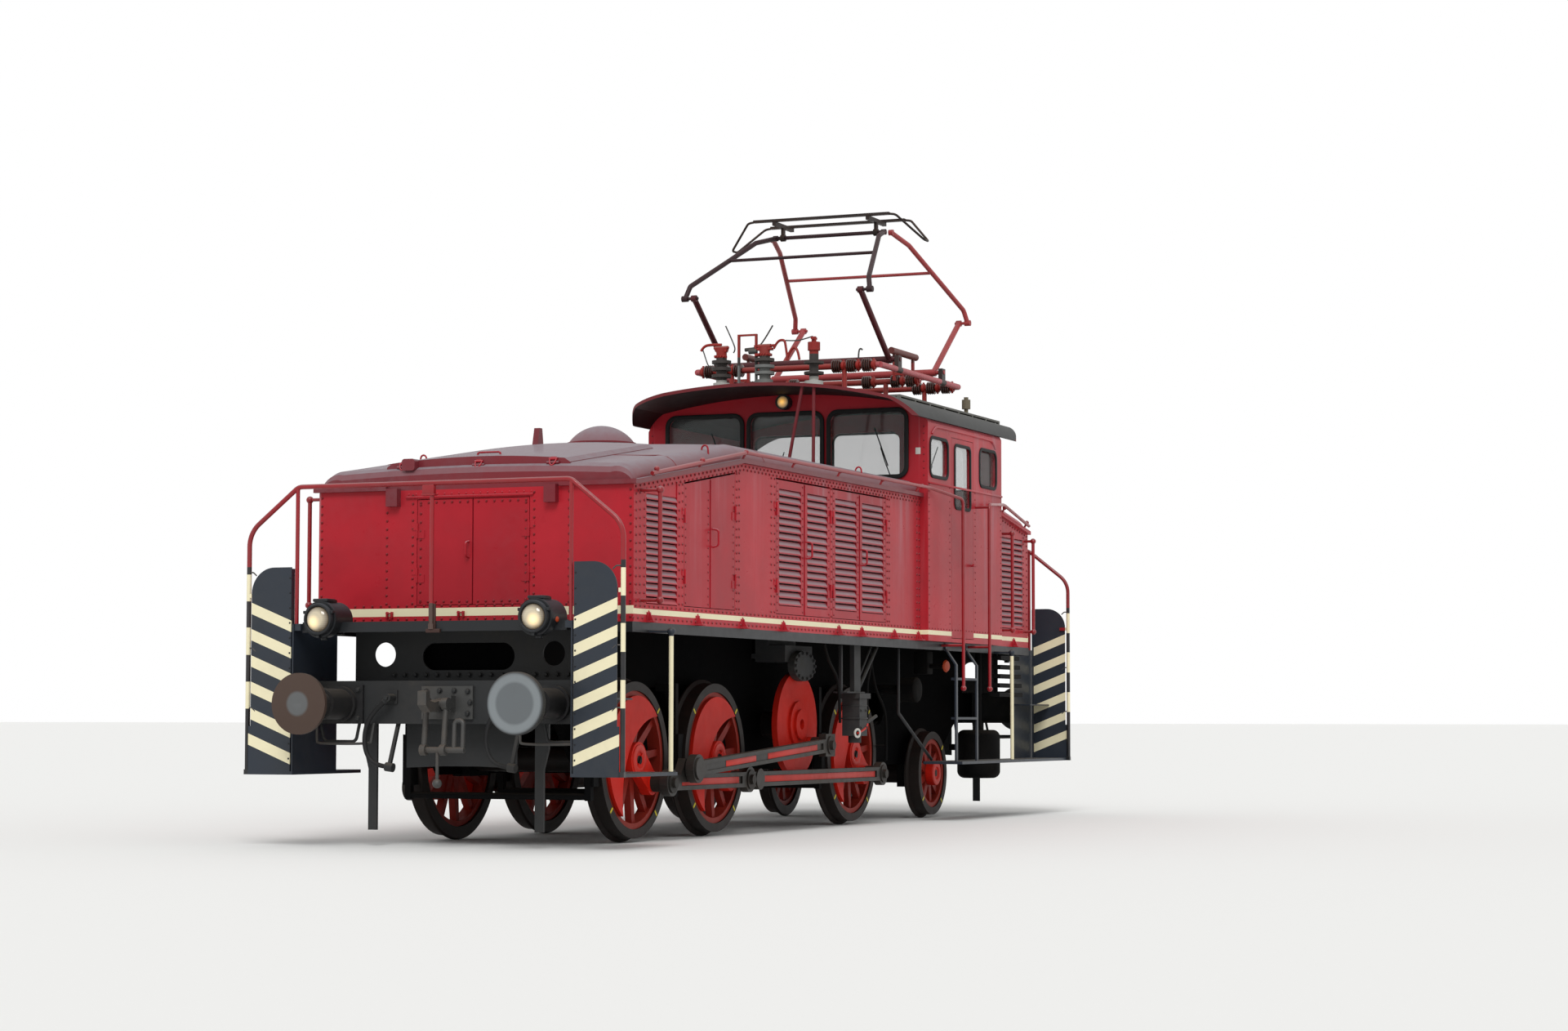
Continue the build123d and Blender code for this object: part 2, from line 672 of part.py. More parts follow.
front_step = join([step_end(FRONT_STEP_X), pole(4270, 1531)])
save("steps_front", *both_sides(front_step))
rear_step = other_side(step_end(-REAR_STEP_X)).rotate(Axis.Z, 180)
rear_step = join([rear_step, pole(-3515, 1531), ladder()])
save("steps_rear", *both_sides(rear_step))


# Bonnets: walls with door openings, and a crowned roof

def gutter_h(x):
    # height of the gutter along the front bonnet
    slope = (BONNET_TOP_H - BONNET_FRONT_H) / (BONNET_END_X - BONNET_PEAK_X)
    return BONNET_TOP_H - max(0, x - BONNET_PEAK_X) * slope


def rear_gutter_h(x):
    slope = (REAR_BONNET_TOP_H - REAR_BONNET_END_H) / (BONNET_END_X + CAB_REAR_X)
    return REAR_BONNET_TOP_H - (CAB_REAR_X - x) * slope


def leaf_outline(x0, x1, inset):
    # corners of a door or its opening, its top following the gutter
    a, b = max(x0, x1) - inset, min(x0, x1) + inset
    low = up(DOOR_LOW_H) + inset
    drop = DOOR_TOP_GAP if inset > 0 else 0
    points = [(a, low), (b, low), (b, up(gutter_h(b) - DOOR_UNDER_GUTTER) - drop)]
    if b < BONNET_PEAK_X < a:
        points.append((BONNET_PEAK_X, up(gutter_h(BONNET_PEAK_X) - DOOR_UNDER_GUTTER) - drop))
    points.append((a, up(gutter_h(a) - DOOR_UNDER_GUTTER) - drop))
    return points


def leaf_knuckle(x, y, z):
    # the leaf's half of a hinge, bored for the pin
    bore = post((x, y, z - 1), (x, y, z + KNUCKLE + 1), HINGE_PIN_D + 2 * HINGE_PIN_GAP)
    return post((x, y, z), (x, y, z + KNUCKLE), HINGE_D), bore


def wall_knuckle(x, y, z):
    # the fixed half with its pin
    pin = post((x, y, z + 4), (x, y, z + KNUCKLE_TOP), HINGE_PIN_D)
    return pin + post((x, y, z + KNUCKLE + HINGE_PIN_GAP), (x, y, z + KNUCKLE_TOP), HINGE_D)


def hinge_heights(low, high):
    return low + HINGE_LOW, high - HINGE_HIGH


# side doors from front to rear: name, front edge, rear edge, hinged at its front edge or not, louvred or not
SIDE_DOORS = (
    ("1", 3667, 3188, True, False),
    ("2", 3188, 2709, False, False),
    ("3", 1891, 1292, True, True),
    ("4", 1292, 693 + DOOR_POST / 2, False, True),
    ("5", 693 - DOOR_POST / 2, 49, True, True),
    ("6", 49, -595, False, True),
)
FRONT_LOUVRE = (4330, 3790)
DOOR_OPENINGS = ((3667, 2709), (1891, 693 + DOOR_POST / 2), (693 - DOOR_POST / 2, -595))


def louvres(x0, x1, low, high, y, count):
    # sloped slats across an opening, each tilted out at its lower edge
    slats = []
    pitch = (high - low) / count
    for i in range(count):
        z = low + i * pitch
        section = [(y - 12, z + pitch * 0.88), (y - 5, z + pitch * 0.93), (y + 17, z + pitch * 0.14),
                   (y + 10, z + pitch * 0.08)]
        slats.append(cross_plate(section, x0, x1))
    return slats


def side_wall_knuckles():
    parts = []
    for name, front, rear, hinge_front, louvred in SIDE_DOORS:
        points = leaf_outline(front, rear, DOOR_GAP)
        high = min(p[1] for p in points[2:])
        x = max(front, rear) - DOOR_GAP if hinge_front else min(front, rear) + DOOR_GAP
        outward = 1 if hinge_front else -1
        for z in hinge_heights(up(DOOR_LOW_H), high):
            parts.append(wall_knuckle(x, BODY_Y + HINGE_OUT, z))
            base = z + KNUCKLE + HINGE_PIN_GAP
            parts.append(block(x, x + outward * 42, BODY_Y, BODY_Y + 5, base, z + KNUCKLE_TOP))
    return parts


def end_wall_knuckles():
    parts = []
    y = END_DOOR_HALF - DOOR_GAP
    for z in hinge_heights(up(DOOR_LOW_H), up(END_DOOR_TOP_H)):
        knuckle = wall_knuckle(BONNET_END_X + HINGE_OUT, y, z)
        base = z + KNUCKLE + HINGE_PIN_GAP
        plate = block(BONNET_END_X, BONNET_END_X + 5, y, y + 45, base, z + KNUCKLE_TOP)
        parts += both_sides(knuckle + plate)
    return parts


def front_bonnet_walls():
    x_cab = CAB_FRONT_X
    outline = [(x_cab, up(DECK_H)), (BONNET_END_X, up(DECK_H)), (BONNET_END_X, up(BONNET_FRONT_H)),
               (BONNET_PEAK_X, up(BONNET_TOP_H)), (x_cab, up(BONNET_TOP_H))]
    wall = side_plate(outline, BODY_Y - WALL_T, BODY_Y)
    for x0, x1 in DOOR_OPENINGS:
        wall = wall - side_plate(leaf_outline(x0, x1, 0), BODY_Y - WALL_T - 5, BODY_Y + 5)
    vent = leaf_outline(*FRONT_LOUVRE, 0)
    wall = wall - side_plate(vent, BODY_Y - WALL_T - 5, BODY_Y + 5)
    top = up(gutter_h(FRONT_LOUVRE[0]) - DOOR_UNDER_GUTTER - 20)
    slats = louvres(FRONT_LOUVRE[0], FRONT_LOUVRE[1], up(DOOR_LOW_H), top, BODY_Y - 12, 16)
    x0, x1 = FRONT_LOUVRE
    filler = [(x0, top - 4), (x1, top - 4), (x1, up(gutter_h(x1) - DOOR_UNDER_GUTTER + 6)),
              (x0, up(gutter_h(x0) - DOOR_UNDER_GUTTER + 6))]
    slats.append(side_plate(filler, BODY_Y - 30, BODY_Y - 6))
    wall = join([wall] + slats + side_wall_knuckles())
    front = block(BONNET_END_X - WALL_T, BONNET_END_X, -BODY_Y, BODY_Y, up(DECK_H), up(BONNET_FRONT_H))
    hole = block(BONNET_END_X - 60, BONNET_END_X + 20, -END_DOOR_HALF, END_DOOR_HALF, up(DOOR_LOW_H), up(END_DOOR_TOP_H))
    front = join([front - hole] + end_wall_knuckles())
    return join(both_sides(wall) + [front])


save("bonnet_walls", front_bonnet_walls())


def roof_section(x, gutter, drop, inset):
    # closed cross-section of a bonnet roof: round shoulders and a crown, lowered by drop at its rounded end
    y = BODY_Y - inset
    z = up(gutter)
    shoulder = (y - SHOULDER_IN, z + SHOULDER_UP - drop - inset)
    mid = (y - SHOULDER_IN * 0.25, z + (SHOULDER_UP - drop) * 0.70 - inset)
    crown = (0, z + CROWN_RISE - drop - inset)
    left = ThreePointArc((x, y, z), (x, mid[0], mid[1]), (x, shoulder[0], shoulder[1]))
    right = ThreePointArc((x, -shoulder[0], shoulder[1]), (x, -mid[0], mid[1]), (x, -y, z))
    top = ThreePointArc((x, shoulder[0], shoulder[1]), (x, crown[0], crown[1]), (x, -shoulder[0], shoulder[1]))
    base = Line((x, -y, z), (x, y, z))
    return make_face([left, top, right, base])


def roof_solid(stations, inset):
    sections = [roof_section(*station, inset) for station in stations]
    return join([loft([a, b], ruled=True) for a, b in zip(sections, sections[1:])])


def end_stations(end_x, gutter_at):
    # the last stations at a bonnet's end, where the roof rounds down
    inward = -1 if end_x > 0 else 1
    return [(end_x + inward * back, gutter_at(end_x + inward * back), drop) for back, drop in NOSE]


def roof_shell(stations, inset_ends):
    # stations: (x, gutter height, drop); the inner hollow is shifted to stop short of the closed end
    inner_stations = [(x + shift, gutter, drop) for (x, gutter, drop), shift in zip(stations, inset_ends)]
    return roof_solid(stations, 0) - roof_solid(inner_stations, ROOF_T)


def front_gutter():
    points = [(x, up(gutter_h(x))) for x in (BONNET_END_X, BONNET_PEAK_X, CAB_FRONT_X)]
    points += [(x, z + GUTTER) for x, z in reversed(points)]
    return side_plate(points, BODY_Y - 4, BODY_Y + GUTTER)


def rear_gutter():
    points = [(x, up(rear_gutter_h(x))) for x in (CAB_REAR_X, -BONNET_END_X)]
    points += [(x, z + GUTTER) for x, z in reversed(points)]
    return side_plate(points, BODY_Y - 4, BODY_Y + GUTTER)


FRONT_STATIONS = end_stations(BONNET_END_X, gutter_h) + [(BONNET_PEAK_X, BONNET_TOP_H, 0), (CAB_FRONT_X, BONNET_TOP_H, 0)]
REAR_STATIONS = end_stations(-BONNET_END_X, rear_gutter_h) + [(CAB_REAR_X, REAR_BONNET_TOP_H, 0)]


def roof_rise(y):
    # height of a bonnet roof's crown above its gutter at a distance from the centre line
    half = BODY_Y - SHOULDER_IN
    return SHOULDER_UP + (CROWN_RISE - SHOULDER_UP) * (1 - (y / half) ** 2)


def ventilator():
    # round cowl on the long bonnet: drum, flange and a domed cap
    x, y = VENT_X, VENT_Y
    base = up(BONNET_TOP_H + roof_rise(y))
    drum_r, flange_r = VENT_D / 2 - 14, VENT_D / 2
    foot, top = base - 60, base + VENT_DRUM
    rim, crown = top + 14, top + VENT_CAP
    ball = (drum_r ** 2 + (crown - rim) ** 2) / (2 * (crown - rim))
    half = math.asin(drum_r / ball) / 2
    side = Polyline((0, foot), (drum_r, foot), (drum_r, top), (flange_r, top), (flange_r, rim), (drum_r, rim))
    cap = ThreePointArc((drum_r, rim), (ball * math.sin(half), crown - ball * (1 - math.cos(half))), (0, crown))
    outline = make_face([side, cap, Line((0, crown), (0, foot))])
    cowl = Pos(x, y, 0) * (Rot(90, 0, 0) * revolve(outline, Axis.Y, 360))
    return cowl - roof_solid(FRONT_STATIONS[-2:], ROOF_T / 2)


def fin():
    # thin upright wedge on the crown behind the lid
    x, y = 2920, -300
    base = up(gutter_h(x) + roof_rise(y)) - 14
    outline = [(x - 62, base), (x + 62, base), (x + 16, up(3196)), (x - 30, up(3196))]
    return side_plate(outline, y - 24, y + 24)


def front_bonnet_roof():
    shell = roof_shell(FRONT_STATIONS, (-ROOF_T, -ROOF_T, -ROOF_T, 0, -1))
    strips = both_sides(front_gutter())
    front_h = up(BONNET_FRONT_H)
    for side in (1, -1):
        strips.append(block(BONNET_END_X, BONNET_END_X + GUTTER, side * 720, side * (BODY_Y + GUTTER),
                            front_h, front_h + GUTTER))
        strips.append(block(BONNET_END_X, BONNET_END_X + 60, side * 610, side * 705, front_h - 120, front_h + 12))
    strips += [ventilator(), fin()]
    return join([shell] + strips)


save("bonnet_roof", front_bonnet_roof())


bonnet_roof_solid = roof_solid(FRONT_STATIONS[:4], 0)


def roof_hatch():
    # wide raised lid over the front of the long bonnet, held by three clamps in front
    faces = []
    for x, sink in ((LID_FRONT_X, 0), (LID_REAR_X, 0)):
        z = up(gutter_h(x))
        low, side_top, crown = z + LID_LOW, z + LID_SIDE, z + LID_CROWN
        top = ThreePointArc((x, LID_HALF - 46, side_top), (x, 0, crown), (x, -LID_HALF + 46, side_top))
        ends = [Line((x, LID_HALF, low), (x, LID_HALF, side_top - 30)),
                Line((x, LID_HALF, side_top - 30), (x, LID_HALF - 46, side_top)),
                Line((x, -LID_HALF + 46, side_top), (x, -LID_HALF, side_top - 30)),
                Line((x, -LID_HALF, side_top - 30), (x, -LID_HALF, low))]
        faces.append(make_face(ends + [top, Line((x, -LID_HALF, low), (x, LID_HALF, low))]))
    parts = [loft(faces, ruled=True)]
    z = up(gutter_h(LID_FRONT_X))
    for y in LID_CLAMPS:
        parts.append(block(LID_FRONT_X - 20, LID_FRONT_X + 16, y - 16, y + 16, z + LID_LOW - 44, z + LID_SIDE - 20))
        parts.append(across(LID_FRONT_X + 10, z + LID_SIDE - 34, 22, y - 50, y + 50))
    horn = block(LID_FRONT_X - 30, LID_FRONT_X + 70, -600, -492, z + LID_LOW + 4, z + LID_SIDE + 26)
    parts.append(fillet(horn.edges().filter_by(Axis.X), 22))
    return join(parts) - bonnet_roof_solid


save("roof_hatch", roof_hatch())


def rear_bonnet():
    x0, x1 = CAB_REAR_X, -BONNET_END_X
    outline = [(x0, up(DECK_H)), (x1, up(DECK_H)), (x1, up(REAR_BONNET_END_H)), (x0, up(REAR_BONNET_TOP_H))]
    wall = side_plate(outline, BODY_Y - WALL_T, BODY_Y)
    vent = (x0 - 210, x1 + 170)
    low, high = up(DOOR_LOW_H + 40), up(REAR_BONNET_END_H - 60)
    wall = wall - block(vent[0], vent[1], BODY_Y - 60, BODY_Y + 5, low, high)
    wall = join([wall] + louvres(vent[0], vent[1], low, high, BODY_Y - 12, 16))
    rear = block(x1, x1 + WALL_T, -BODY_Y, BODY_Y, up(DECK_H), up(REAR_BONNET_END_H) + ROOF_T)
    roof = roof_shell(REAR_STATIONS, (ROOF_T, ROOF_T, ROOF_T, 1))
    return join(both_sides(wall) + [rear, roof] + both_sides(rear_gutter()))


save("bonnet_rear", rear_bonnet())


# Door leaves

def side_leaf(front, rear, hinge_front, louvred):
    points = leaf_outline(front, rear, DOOR_GAP)
    y1 = BODY_Y
    leaf = side_plate(points, y1 - DOOR_T, y1)
    a, b = max(front, rear) - DOOR_GAP, min(front, rear) + DOOR_GAP
    hinge_x = a if hinge_front else b
    low = up(DOOR_LOW_H)
    high = min(p[1] for p in points[2:])
    parts = []
    bores = []
    if louvred:
        frame_in = 62
        cut = block(b + frame_in, a - frame_in, y1 - 60, y1 + 10, low + 70, high - 70)
        leaf = leaf - cut
        parts += louvres(b + frame_in, a - frame_in, low + 70, high - 70, y1 - 12, 16)
    for z in hinge_heights(low, high):
        knuckle, bore = leaf_knuckle(hinge_x, y1 + HINGE_OUT, z)
        inward = -1 if hinge_front else 1
        parts += [knuckle, block(hinge_x, hinge_x + inward * 60, y1 - 2, y1 + 5, z, z + KNUCKLE)]
        bores.append(bore)
    free = b if hinge_front else a
    inward = 1 if hinge_front else -1
    handle_x = free + inward * 34
    grip = tube([(handle_x, y1 - 4, low + 470), (handle_x, y1 + 55, low + 480), (handle_x, y1 + 55, low + 600),
                 (handle_x, y1 - 4, low + 610)], 16, 22)
    if not hinge_front:
        parts.append(grip)
        parts.append(block(free - 30, free, y1, y1 + 6, low + 8, high - 10))
    whole = join([leaf] + parts)
    for bore in bores:
        whole = whole - bore
    return whole


for name, front, rear, hinge_front, louvred in SIDE_DOORS:
    leaf = side_leaf(front, rear, hinge_front, louvred)
    save("door_left_" + name, leaf)
    save("door_right_" + name, other_side(leaf))


def end_leaf():
    x1 = BONNET_END_X
    top = up(END_DOOR_TOP_H)
    leaf = block(x1 - DOOR_T, x1, DOOR_GAP / 2 + 1, END_DOOR_HALF - DOOR_GAP, up(DOOR_LOW_H) + DOOR_GAP, top - DOOR_GAP)
    y = END_DOOR_HALF - DOOR_GAP
    for z in hinge_heights(up(DOOR_LOW_H), top):
        knuckle, bore = leaf_knuckle(x1 + HINGE_OUT, y, z)
        plate = block(x1 - 2, x1 + 5, y - 60, y, z, z + KNUCKLE)
        leaf = join([leaf, knuckle, plate]) - bore
    return leaf


left_end = end_leaf()
bar = block(BONNET_END_X, BONNET_END_X + 6, -26, -DOOR_GAP / 2 - 1, up(DOOR_LOW_H) + 8, up(END_DOOR_TOP_H) - 8)
end_grip = tube([(BONNET_END_X - 4, -34, up(2090)), (BONNET_END_X + 50, -34, up(2100)), (BONNET_END_X + 50, -34, up(2200)),
                 (BONNET_END_X - 4, -34, up(2210))], 16, 22)
right_end = join([other_side(left_end), bar, end_grip])
save("door_end_left", left_end)
save("door_end_right", right_end)


def cab_leaf():
    a, b = CAB_DOOR_X[0] - DOOR_GAP, CAB_DOOR_X[1] + DOOR_GAP
    y1 = CAB_Y
    leaf = block(b, a, y1 - DOOR_T, y1, up(CAB_DOOR_LOW_H) + DOOR_GAP, up(CAB_DOOR_TOP_H) - DOOR_GAP)
    hole = block(b + 85, a - 85, y1 - 60, y1 + 10, up(2840), up(3420))
    edges = hole.edges().filter_by(Axis.Y)
    leaf = leaf - fillet(edges, 50)
    for z in hinge_heights(up(CAB_DOOR_LOW_H), up(CAB_DOOR_TOP_H)):
        knuckle, bore = leaf_knuckle(a - CAB_HINGE_IN, y1 - DOOR_T - HINGE_OUT, z)
        plate = block(a - CAB_HINGE_IN, a - 70, y1 - DOOR_T - 5, y1 - DOOR_T + 2, z, z + KNUCKLE)
        leaf = join([leaf, knuckle, plate]) - bore
    lever = post((b + 42, y1 - 2, up(2330)), (b + 42, y1 + 40, up(2330)), 24)
    arm = block(b + 30, b + 130, y1 + 34, y1 + 50, up(2320), up(2342))
    return join([leaf, lever, arm])


left_cab_leaf = cab_leaf()
save("door_cab_left", left_cab_leaf)
save("door_cab_right", other_side(left_cab_leaf))


# Cab: walls with windows, roof with visors, floor and what shows through the glass

def window_hole(sketch_w, sketch_h, radius):
    return extrude(RectangleRounded(sketch_w, sketch_h, radius), 240)


def side_window(x0, x1, low, high):
    hole = window_hole(abs(x1 - x0), high - low, 70)
    return Pos((x0 + x1) / 2, CAB_Y + 100, up((low + high) / 2)) * Rot(90, 0, 0) * hole


def end_window(y0, y1, low, high, x):
    hole = window_hole(abs(y1 - y0), high - low, 90)
    place = Plane(origin=(x - 120, (y0 + y1) / 2, up((low + high) / 2)), x_dir=(0, 1, 0), z_dir=(1, 0, 0))
    return place * hole


SIDE_WINDOWS = ((-1512, -1992), (-2872, -3356))
END_WINDOWS = ((-1182, -430), (-362, 362), (430, 1182))


def roof_profile(x, drop, grow):
    # cross-section of the cab roof from eave to eave
    y = CAB_Y + EAVE_OUT + grow
    eave = up(EAVE_H) - drop
    shoulder = (ROOF_SHOULDER_Y, up(ROOF_SHOULDER_H) - drop)
    top = up(ROOF_TOP_H) - drop
    bulge = (y - 60, eave + (shoulder[1] - eave) * 0.55)
    left = ThreePointArc((x, y, eave), (x, bulge[0], bulge[1]), (x, shoulder[0], shoulder[1]))
    crown = ThreePointArc((x, shoulder[0], shoulder[1]), (x, 0, top), (x, -shoulder[0], shoulder[1]))
    right = ThreePointArc((x, -shoulder[0], shoulder[1]), (x, -bulge[0], bulge[1]), (x, -y, eave))
    return make_face([left, crown, right, Line((x, -y, eave), (x, y, eave))])


def cab_walls():
    low = up(DECK_H)
    outer = extrude(roof_profile(CAB_REAR_X, CAB_ROOF_T, -EAVE_OUT), CAB_FRONT_X - CAB_REAR_X, dir=(1, 0, 0))
    outer = outer + block(CAB_REAR_X, CAB_FRONT_X, -CAB_Y, CAB_Y, low, up(EAVE_H) - CAB_ROOF_T)
    inner = block(CAB_REAR_X + CAB_WALL_T, CAB_FRONT_X - CAB_WALL_T, -CAB_Y + CAB_WALL_T, CAB_Y - CAB_WALL_T,
                  low - 1, up(EAVE_H) - CAB_ROOF_T)
    inner = inner + block(CAB_REAR_X + CAB_WALL_T, CAB_FRONT_X - CAB_WALL_T, -CAB_Y + CAB_WALL_T, CAB_Y - CAB_WALL_T,
                          up(EAVE_H) - CAB_ROOF_T - 1, up(ROOF_TOP_H) + 100)
    walls = outer - inner
    for x0, x1 in SIDE_WINDOWS:
        hole = side_window(x0, x1, WINDOW_LOW_H, WINDOW_TOP_H)
        walls = walls - hole - other_side(hole)
    for y0, y1 in END_WINDOWS:
        walls = walls - end_window(y0, y1, WINDOW_LOW_H, FRONT_WINDOW_TOP_H, CAB_FRONT_X)
    for y0, y1 in END_WINDOWS:
        walls = walls - end_window(y0, y1, WINDOW_LOW_H, FRONT_WINDOW_TOP_H, CAB_REAR_X)
    opening = block(CAB_DOOR_X[1], CAB_DOOR_X[0], CAB_Y - 100, CAB_Y + 20, up(CAB_DOOR_LOW_H), up(CAB_DOOR_TOP_H))
    walls = walls - opening - other_side(opening)
    knuckles = []
    x = CAB_DOOR_X[0] - DOOR_GAP - CAB_HINGE_IN
    y = CAB_Y - DOOR_T - HINGE_OUT
    inner_face = CAB_Y - CAB_WALL_T
    for z in hinge_heights(up(CAB_DOOR_LOW_H), up(CAB_DOOR_TOP_H)):
        base = z + KNUCKLE + HINGE_PIN_GAP
        arm = block(x - 6, x + 6, inner_face - 6, y, base, z + KNUCKLE_TOP)
        plate = block(x - 6, x + 50, inner_face - 6, inner_face, base, z + KNUCKLE_TOP)
        knuckles += both_sides(join([wall_knuckle(x, y, z), arm, plate]))
    return join([walls] + knuckles)


save("cab_walls", cab_walls())


def sweep_arc(x, sweep, side):
    # rounded corner in plan, from the straight edge at x back to the eave
    inward = sweep if x < 0 and sweep > 0 else sweep
    out = CAB_Y + EAVE_OUT + 2
    reach = out - VISOR_STRAIGHT_Y
    quarter = math.sqrt(0.5)
    mid = (x - inward * (1 - quarter), side * (VISOR_STRAIGHT_Y + reach * quarter))
    return (x, side * VISOR_STRAIGHT_Y), mid, (x - inward, side * out)


def visor_plan():
    # the roof seen from above: straight ends and long rounded corners
    front = [sweep_arc(VISOR_FRONT_X, VISOR_FRONT_SWEEP, side) for side in (1, -1)]
    rear = [sweep_arc(VISOR_REAR_X, -VISOR_REAR_SWEEP, side) for side in (1, -1)]
    edges = [ThreePointArc(*points) for points in front + rear]
    edges.append(Line(front[0][0], front[1][0]))
    edges.append(Line(rear[0][0], rear[1][0]))
    edges.append(Line(front[0][2], rear[0][2]))
    edges.append(Line(front[1][2], rear[1][2]))
    return make_face(edges)


def roof_line(y):
    # height of the cab roof's top at a distance from the centre line
    half = ROOF_SHOULDER_Y
    rise = ROOF_TOP_H - ROOF_SHOULDER_H
    return ROOF_SHOULDER_H + rise * (1 - (y / half) ** 2)


STAY_D = 30
# foot x and y on the long bonnet, head x and y under the visor
STAYS = ((-640, 606, -640, 612), (-640, 350, -640, 505))
bonnet_roof_long = roof_solid(FRONT_STATIONS[3:], 0)


def cab_roof():
    # one crowned sheet that overhangs both ends, its corners rounded in plan, on two stays in front
    outer = extrude(roof_profile(VISOR_REAR_X, 0, 0), VISOR_FRONT_X - VISOR_REAR_X, dir=(1, 0, 0))
    inner = extrude(roof_profile(VISOR_REAR_X - 10, CAB_ROOF_T, -12), VISOR_FRONT_X - VISOR_REAR_X + 20, dir=(1, 0, 0))
    shell = outer - inner
    trim = Pos(0, 0, up(EAVE_H) - 100) * extrude(visor_plan(), 900)
    stays = [post((x0, y0, up(BONNET_TOP_H + roof_rise(y0))), (x1, y1, up(roof_line(y1)) - 8), STAY_D)
             for x0, y0, x1, y1 in STAYS]
    stays = [stay - bonnet_roof_long for stay in stays]
    return join([shell & trim] + stays)


save("cab_roof", cab_roof())


def cab_inside():
    # floor, desk along the front wall, seat and hand wheel
    x0, x1 = CAB_REAR_X + CAB_WALL_T, CAB_FRONT_X - CAB_WALL_T
    y = CAB_Y - CAB_WALL_T
    floor_z = up(CAB_DOOR_LOW_H - 5)
    seat_z = floor_z + 830
    floor = block(x0, x1, -y, y, up(DECK_H), floor_z)
    desk = block(x1 - 420, x1, -y + 60, y - 60, floor_z, up(WINDOW_LOW_H - 188))
    desk = desk - block(x1 - 440, x1 - 120, -420, 420, floor_z + 65, up(WINDOW_LOW_H - 328))
    seat = block(x0 + 250, x0 + 640, 380, 800, seat_z, seat_z + 80)
    back = block(x0 + 250, x0 + 300, 380, 800, seat_z + 80, seat_z + 520)
    column = post((x0 + 445, 590, floor_z - 1), (x0 + 445, 590, seat_z + 1), 90)
    return join([floor, desk, seat, back, column])


save("cab_inside", cab_inside())


def panes():
    glass = []
    for x0, x1 in SIDE_WINDOWS:
        pane = block(x0, x1, CAB_Y - 30, CAB_Y - 24, up(WINDOW_LOW_H), up(WINDOW_TOP_H))
        glass += both_sides(pane & side_window(x0, x1, WINDOW_LOW_H, WINDOW_TOP_H))
    for x, turn in ((CAB_FRONT_X - 30, 1), (CAB_REAR_X + 24, -1)):
        for y0, y1 in END_WINDOWS:
            pane = block(x, x + 6, y0, y1, up(WINDOW_LOW_H), up(FRONT_WINDOW_TOP_H))
            glass.append(pane & end_window(y0, y1, WINDOW_LOW_H, FRONT_WINDOW_TOP_H, x))
    return glass


save("cab_glass", *panes())


# Lamps: two at each end on the platform's front, one over the cab windows at each end

LAMP_UP = 17
TOP_LAMP_D = 134


def headlamp():
    y, z, x = BUFFER_SPACING / 2, up(DECK_H + LAMP_UP), DECK_END_X
    body = post((x - 150, y, z), (x + 96, y, z), 264)
    rim = post((x + 92, y, z), (x + 118, y, z), 230)
    nose = post((x + 116, y, z), (x + 124, y, z), 184)
    top = block(x - 60, x + 60, y - 50, y + 50, z + 120, z + 146)
    body = body - block(x - 200, x, y - 200, y + 200, z - 200, up(DECK_H))
    return join([body, rim, nose, top])


def top_lamp():
    z = up(ROOF_TOP_H - CAB_ROOF_T - TOP_LAMP_D / 2 - 3)
    return join([post((CAB_FRONT_X, 0, z), (CAB_FRONT_X + 60, 0, z), TOP_LAMP_D),
                 post((CAB_FRONT_X + 56, 0, z), (CAB_FRONT_X + 76, 0, z), TOP_LAMP_D - 14)])


rear_top_lamp = Pos(CAB_FRONT_X + CAB_REAR_X, 0, 0) * top_lamp().rotate(Axis.Z, 180)
lamps = both_sides(headlamp())
lamps += [shape.rotate(Axis.Z, 180) for shape in lamps]
save("headlamps", *lamps, top_lamp(), rear_top_lamp)


# Hand rails

RAIL_D = 36


def end_rail():
    x = STEP_END_X - 22
    y = STEP_OUT_Y + RAIL_D / 2 + 1
    points = [(x, y, up(STEP_H - STEP_T)), (x, y, up(2270)), (x, 1112, up(2598)), (x, -1112, up(2598)), (x, -y, up(2270)),
              (x, -y, up(STEP_H - STEP_T))]
    bow = tube(points, RAIL_D, [210, 90, 90, 210])
    parts = [bow]
    for side in (1, -1):
        foot = block(x - 18, x + 18, side * STEP_OUT_Y, side * (y + 18), up(STEP_H - STEP_T), up(STEP_H) + 12)
        inner_post = post((x, side * 1118, up(DECK_H - DECK_T)), (x, side * 1118, up(2598)), 30)
        stay = block(x, STEP_END_X - SHIELD_T, side * (STEP_OUT_Y - 70), side * y, up(1790), up(1820))
        parts += [foot, inner_post, stay]
    parts.append(post((x, 0, up(DECK_H - 60)), (x, 0, up(2598)), 30))
    parts.append(block(DECK_END_X, x + 10, -20, 20, up(DECK_H - 60), up(DECK_H - 20)))
    return join(parts)


front_rail = end_rail()


def corner_grip(x, y, low, high, wall_y):
    # upright grip on two arms that stand out of the wall
    bar_part = post((x, y, up(low)), (x, y, up(high)), 32)
    parts = [bar_part]
    for height in (low, high):
        parts.append(Pos(x, y, up(height)) * Sphere(28))
        parts.append(across(x, up(height), 26, wall_y, y))
    return join(parts)


front_grip = corner_grip(4425, 1465, 1760, 2560, BODY_Y)
save("rails_front", front_rail, *both_sides(front_grip))
rear_grips = [corner_grip(-3763, 1410, 1760, 2690, BODY_Y), corner_grip(-4440, 1400, 1760, 2650, BODY_Y)]
rear_end_rails = [front_rail.rotate(Axis.Z, 180)] + both_sides(rear_grips[0]) + both_sides(rear_grips[1])


